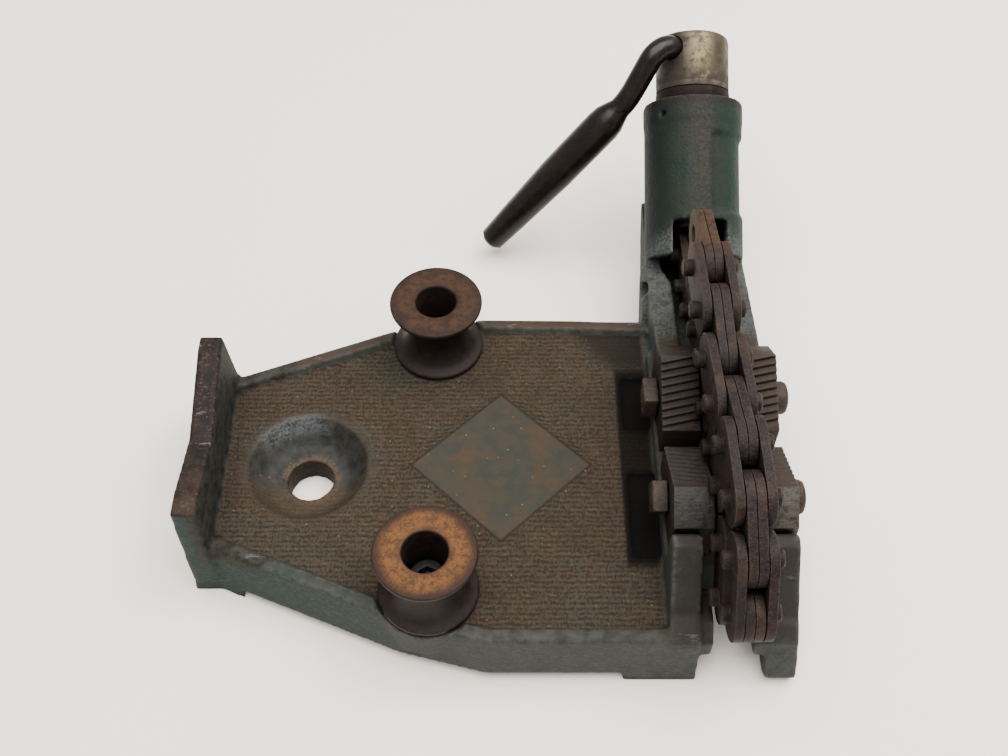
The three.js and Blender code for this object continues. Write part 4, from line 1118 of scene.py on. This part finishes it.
class VISE_OT_handle(Operator):
    """Draw the handle out of a circle: bar, two spun bends and the swelling grip"""

    bl_idname = "vise.handle"
    bl_label = "Handle"

    BAR = 6.0
    CORNER_AT = 29.6  # from the middle of the crank nut, along the cross hole
    UPPER_BEND, LOWER_BEND = 11, 6  # from a knee to where its bend begins
    GRIP = ((4, 7.4), (8, 8.9), (13, 9.5), (24, 9.5), (50, 9.4), (85, 8.0), (105, 6.9))
    END = ((5.4, 6.6), (3.0, 6.0), (1.4, 4.7), (0.5, 2.6), (0.1, 0.6))

    def draw_out(self, spot, target, radius0, radius1):
        """Extrudes the bar's end to a place and radius."""
        bpy.ops.mesh.extrude_region_move(TRANSFORM_OT_translate={"value": target - spot})
        grow = radius1 / radius0
        bpy.ops.transform.resize(value=(grow, grow, grow), center_override=target)
        return target

    def bend(self, way_in, knee, way_out, reach, steps):
        """Spins the bar's end round a knee and says where it comes out."""
        angle = way_in.angle(way_out)
        axis = way_out.cross(way_in).normalized()
        centre = knee - way_in * reach + way_in.cross(axis) * reach / tan(angle / 2)
        bpy.ops.mesh.spin(steps=steps, angle=angle, center=centre, axis=axis)
        return knee + way_out * reach

    def execute(self, context):
        hues = chosen(context)[1]
        middle = at(*TOWER_BASE) + AXIS * CROSS_AT * MM
        corner = middle + CROSS * self.CORNER_AT * MM
        neck, tip = at(*NECK_END), at(*GRIP_TIP)
        fall, away = (neck - corner).normalized(), (tip - neck).normalized()
        upper, lower = self.UPPER_BEND * MM, self.LOWER_BEND * MM
        spot = middle - CROSS * 25 * MM
        turn = CROSS.to_track_quat("Z", "Y").to_euler()
        bpy.ops.mesh.primitive_circle_add(
            vertices=48, radius=5 * MM, fill_type="NGON", location=spot, rotation=turn
        )
        piece = settle(added("fine_crank_handle"))
        with shaping(piece):
            spot = self.draw_out(spot, middle - CROSS * 24 * MM, 5, self.BAR)
            spot = self.draw_out(spot, corner - CROSS * upper, self.BAR, self.BAR)
            spot = self.bend(CROSS, corner, fall, upper, 16)
            spot = self.draw_out(spot, neck - fall * lower, self.BAR, self.BAR)
            spot = self.bend(fall, neck, away, lower, 8)
            radius = self.BAR
            rings = [(spot + away * along * MM, wide) for along, wide in self.GRIP]
            rings += [(tip - away * along * MM, wide) for along, wide in self.END]
            for target, wide in rings:
                spot = self.draw_out(spot, target, radius, wide)
                radius = wide
        close_up(piece)
        light = (0.014, 0.009, 0.008)
        look = {"gloss": 0.2, "shine": 0.24, "rusty": 0.1, "coarse": 0.12}
        iron = iron_finish("handle_iron", hues.handle_iron, light, 4.5, hues, **look)
        dress(piece, iron, "crank_handle", 50)
        return {"FINISHED"}


class VISE_OT_stage(Operator):
    """Set the pale floor, the soft lights and the camera"""

    bl_idname = "vise.stage"
    bl_label = "Stage"

    LIGHTS = (
        ("overhead", (-60, -40, 1500), 1.5, 64.0, (1.0, 0.975, 0.94)),
        ("window", (700, 400, 1100), 0.9, 18.0, (1.0, 0.98, 0.95)),
    )
    AIM = (-80, 40, 0)
    ROOM = (1.0, 0.975, 0.94, 1)
    ROOM_LIGHT = 0.93

    def execute(self, context):
        hues = chosen(context)[1]
        bpy.ops.mesh.primitive_plane_add(size=9, location=(0, 0, 0))
        floor = settle(added("pale_floor"))
        floor.data.materials.append(stage_finish(hues))
        for name, spot, size, power, tint in self.LIGHTS:
            bpy.ops.object.light_add(type="AREA", location=at(*spot))
            light = bpy.context.object
            light.name = name
            light.data.size = size
            light.data.energy = power
            light.data.color = tint
            aim = at(*self.AIM) - light.location
            light.rotation_euler = aim.to_track_quat("-Z", "Y").to_euler()
        world = bpy.data.worlds.new("soft_room")
        world.use_nodes = True
        room = world.node_tree.nodes["Background"].inputs
        room["Color"].default_value = self.ROOM
        room["Strength"].default_value = self.ROOM_LIGHT
        context.scene.world = world
        bpy.ops.object.camera_add(location=at(*CAMERA_SPOT), rotation=(CAMERA_TILT, 0, 0))
        camera = bpy.context.object
        camera.name = "photo_camera"
        camera.data.lens = CAMERA_LENS
        camera.data.sensor_width = 36
        camera.data.clip_start = 0.01
        context.scene.camera = camera
        return {"FINISHED"}


class VISE_PT_pieces(Panel):
    """Buttons for the pieces, the sizes and the colours"""

    bl_label = "Chain vise"
    bl_idname = "VISE_PT_pieces"
    bl_space_type = "VIEW_3D"
    bl_region_type = "UI"
    bl_category = "Chain vise"

    def draw(self, context):
        for step in STEPS:
            self.layout.operator(step.bl_idname)
        for group in chosen(context):
            column = self.layout.column()
            for name in group.__annotations__:
                column.prop(group, name)


STEPS = (
    VISE_OT_stage,
    VISE_OT_casting,
    VISE_OT_rollers,
    VISE_OT_jaws,
    VISE_OT_jaw_bolts,
    VISE_OT_chain,
    VISE_OT_crank,
    VISE_OT_handle,
)
CLASSES = (ViseSizes, ViseColours, *STEPS, VISE_PT_pieces)


def register():
    for kind in CLASSES:
        bpy.utils.register_class(kind)
    bpy.types.Scene.vise_sizes = PointerProperty(type=ViseSizes)
    bpy.types.Scene.vise_colours = PointerProperty(type=ViseColours)


def unregister():
    del bpy.types.Scene.vise_sizes
    del bpy.types.Scene.vise_colours
    for kind in reversed(CLASSES):
        bpy.utils.unregister_class(kind)


def main():
    """Builds everything."""
    register()
    bpy.ops.vise.stage()
    bpy.ops.vise.casting()
    bpy.ops.vise.rollers()
    bpy.ops.vise.jaws()
    bpy.ops.vise.jaw_bolts()
    bpy.ops.vise.chain()
    bpy.ops.vise.crank()
    bpy.ops.vise.handle()


if __name__ == "__main__":
    main()
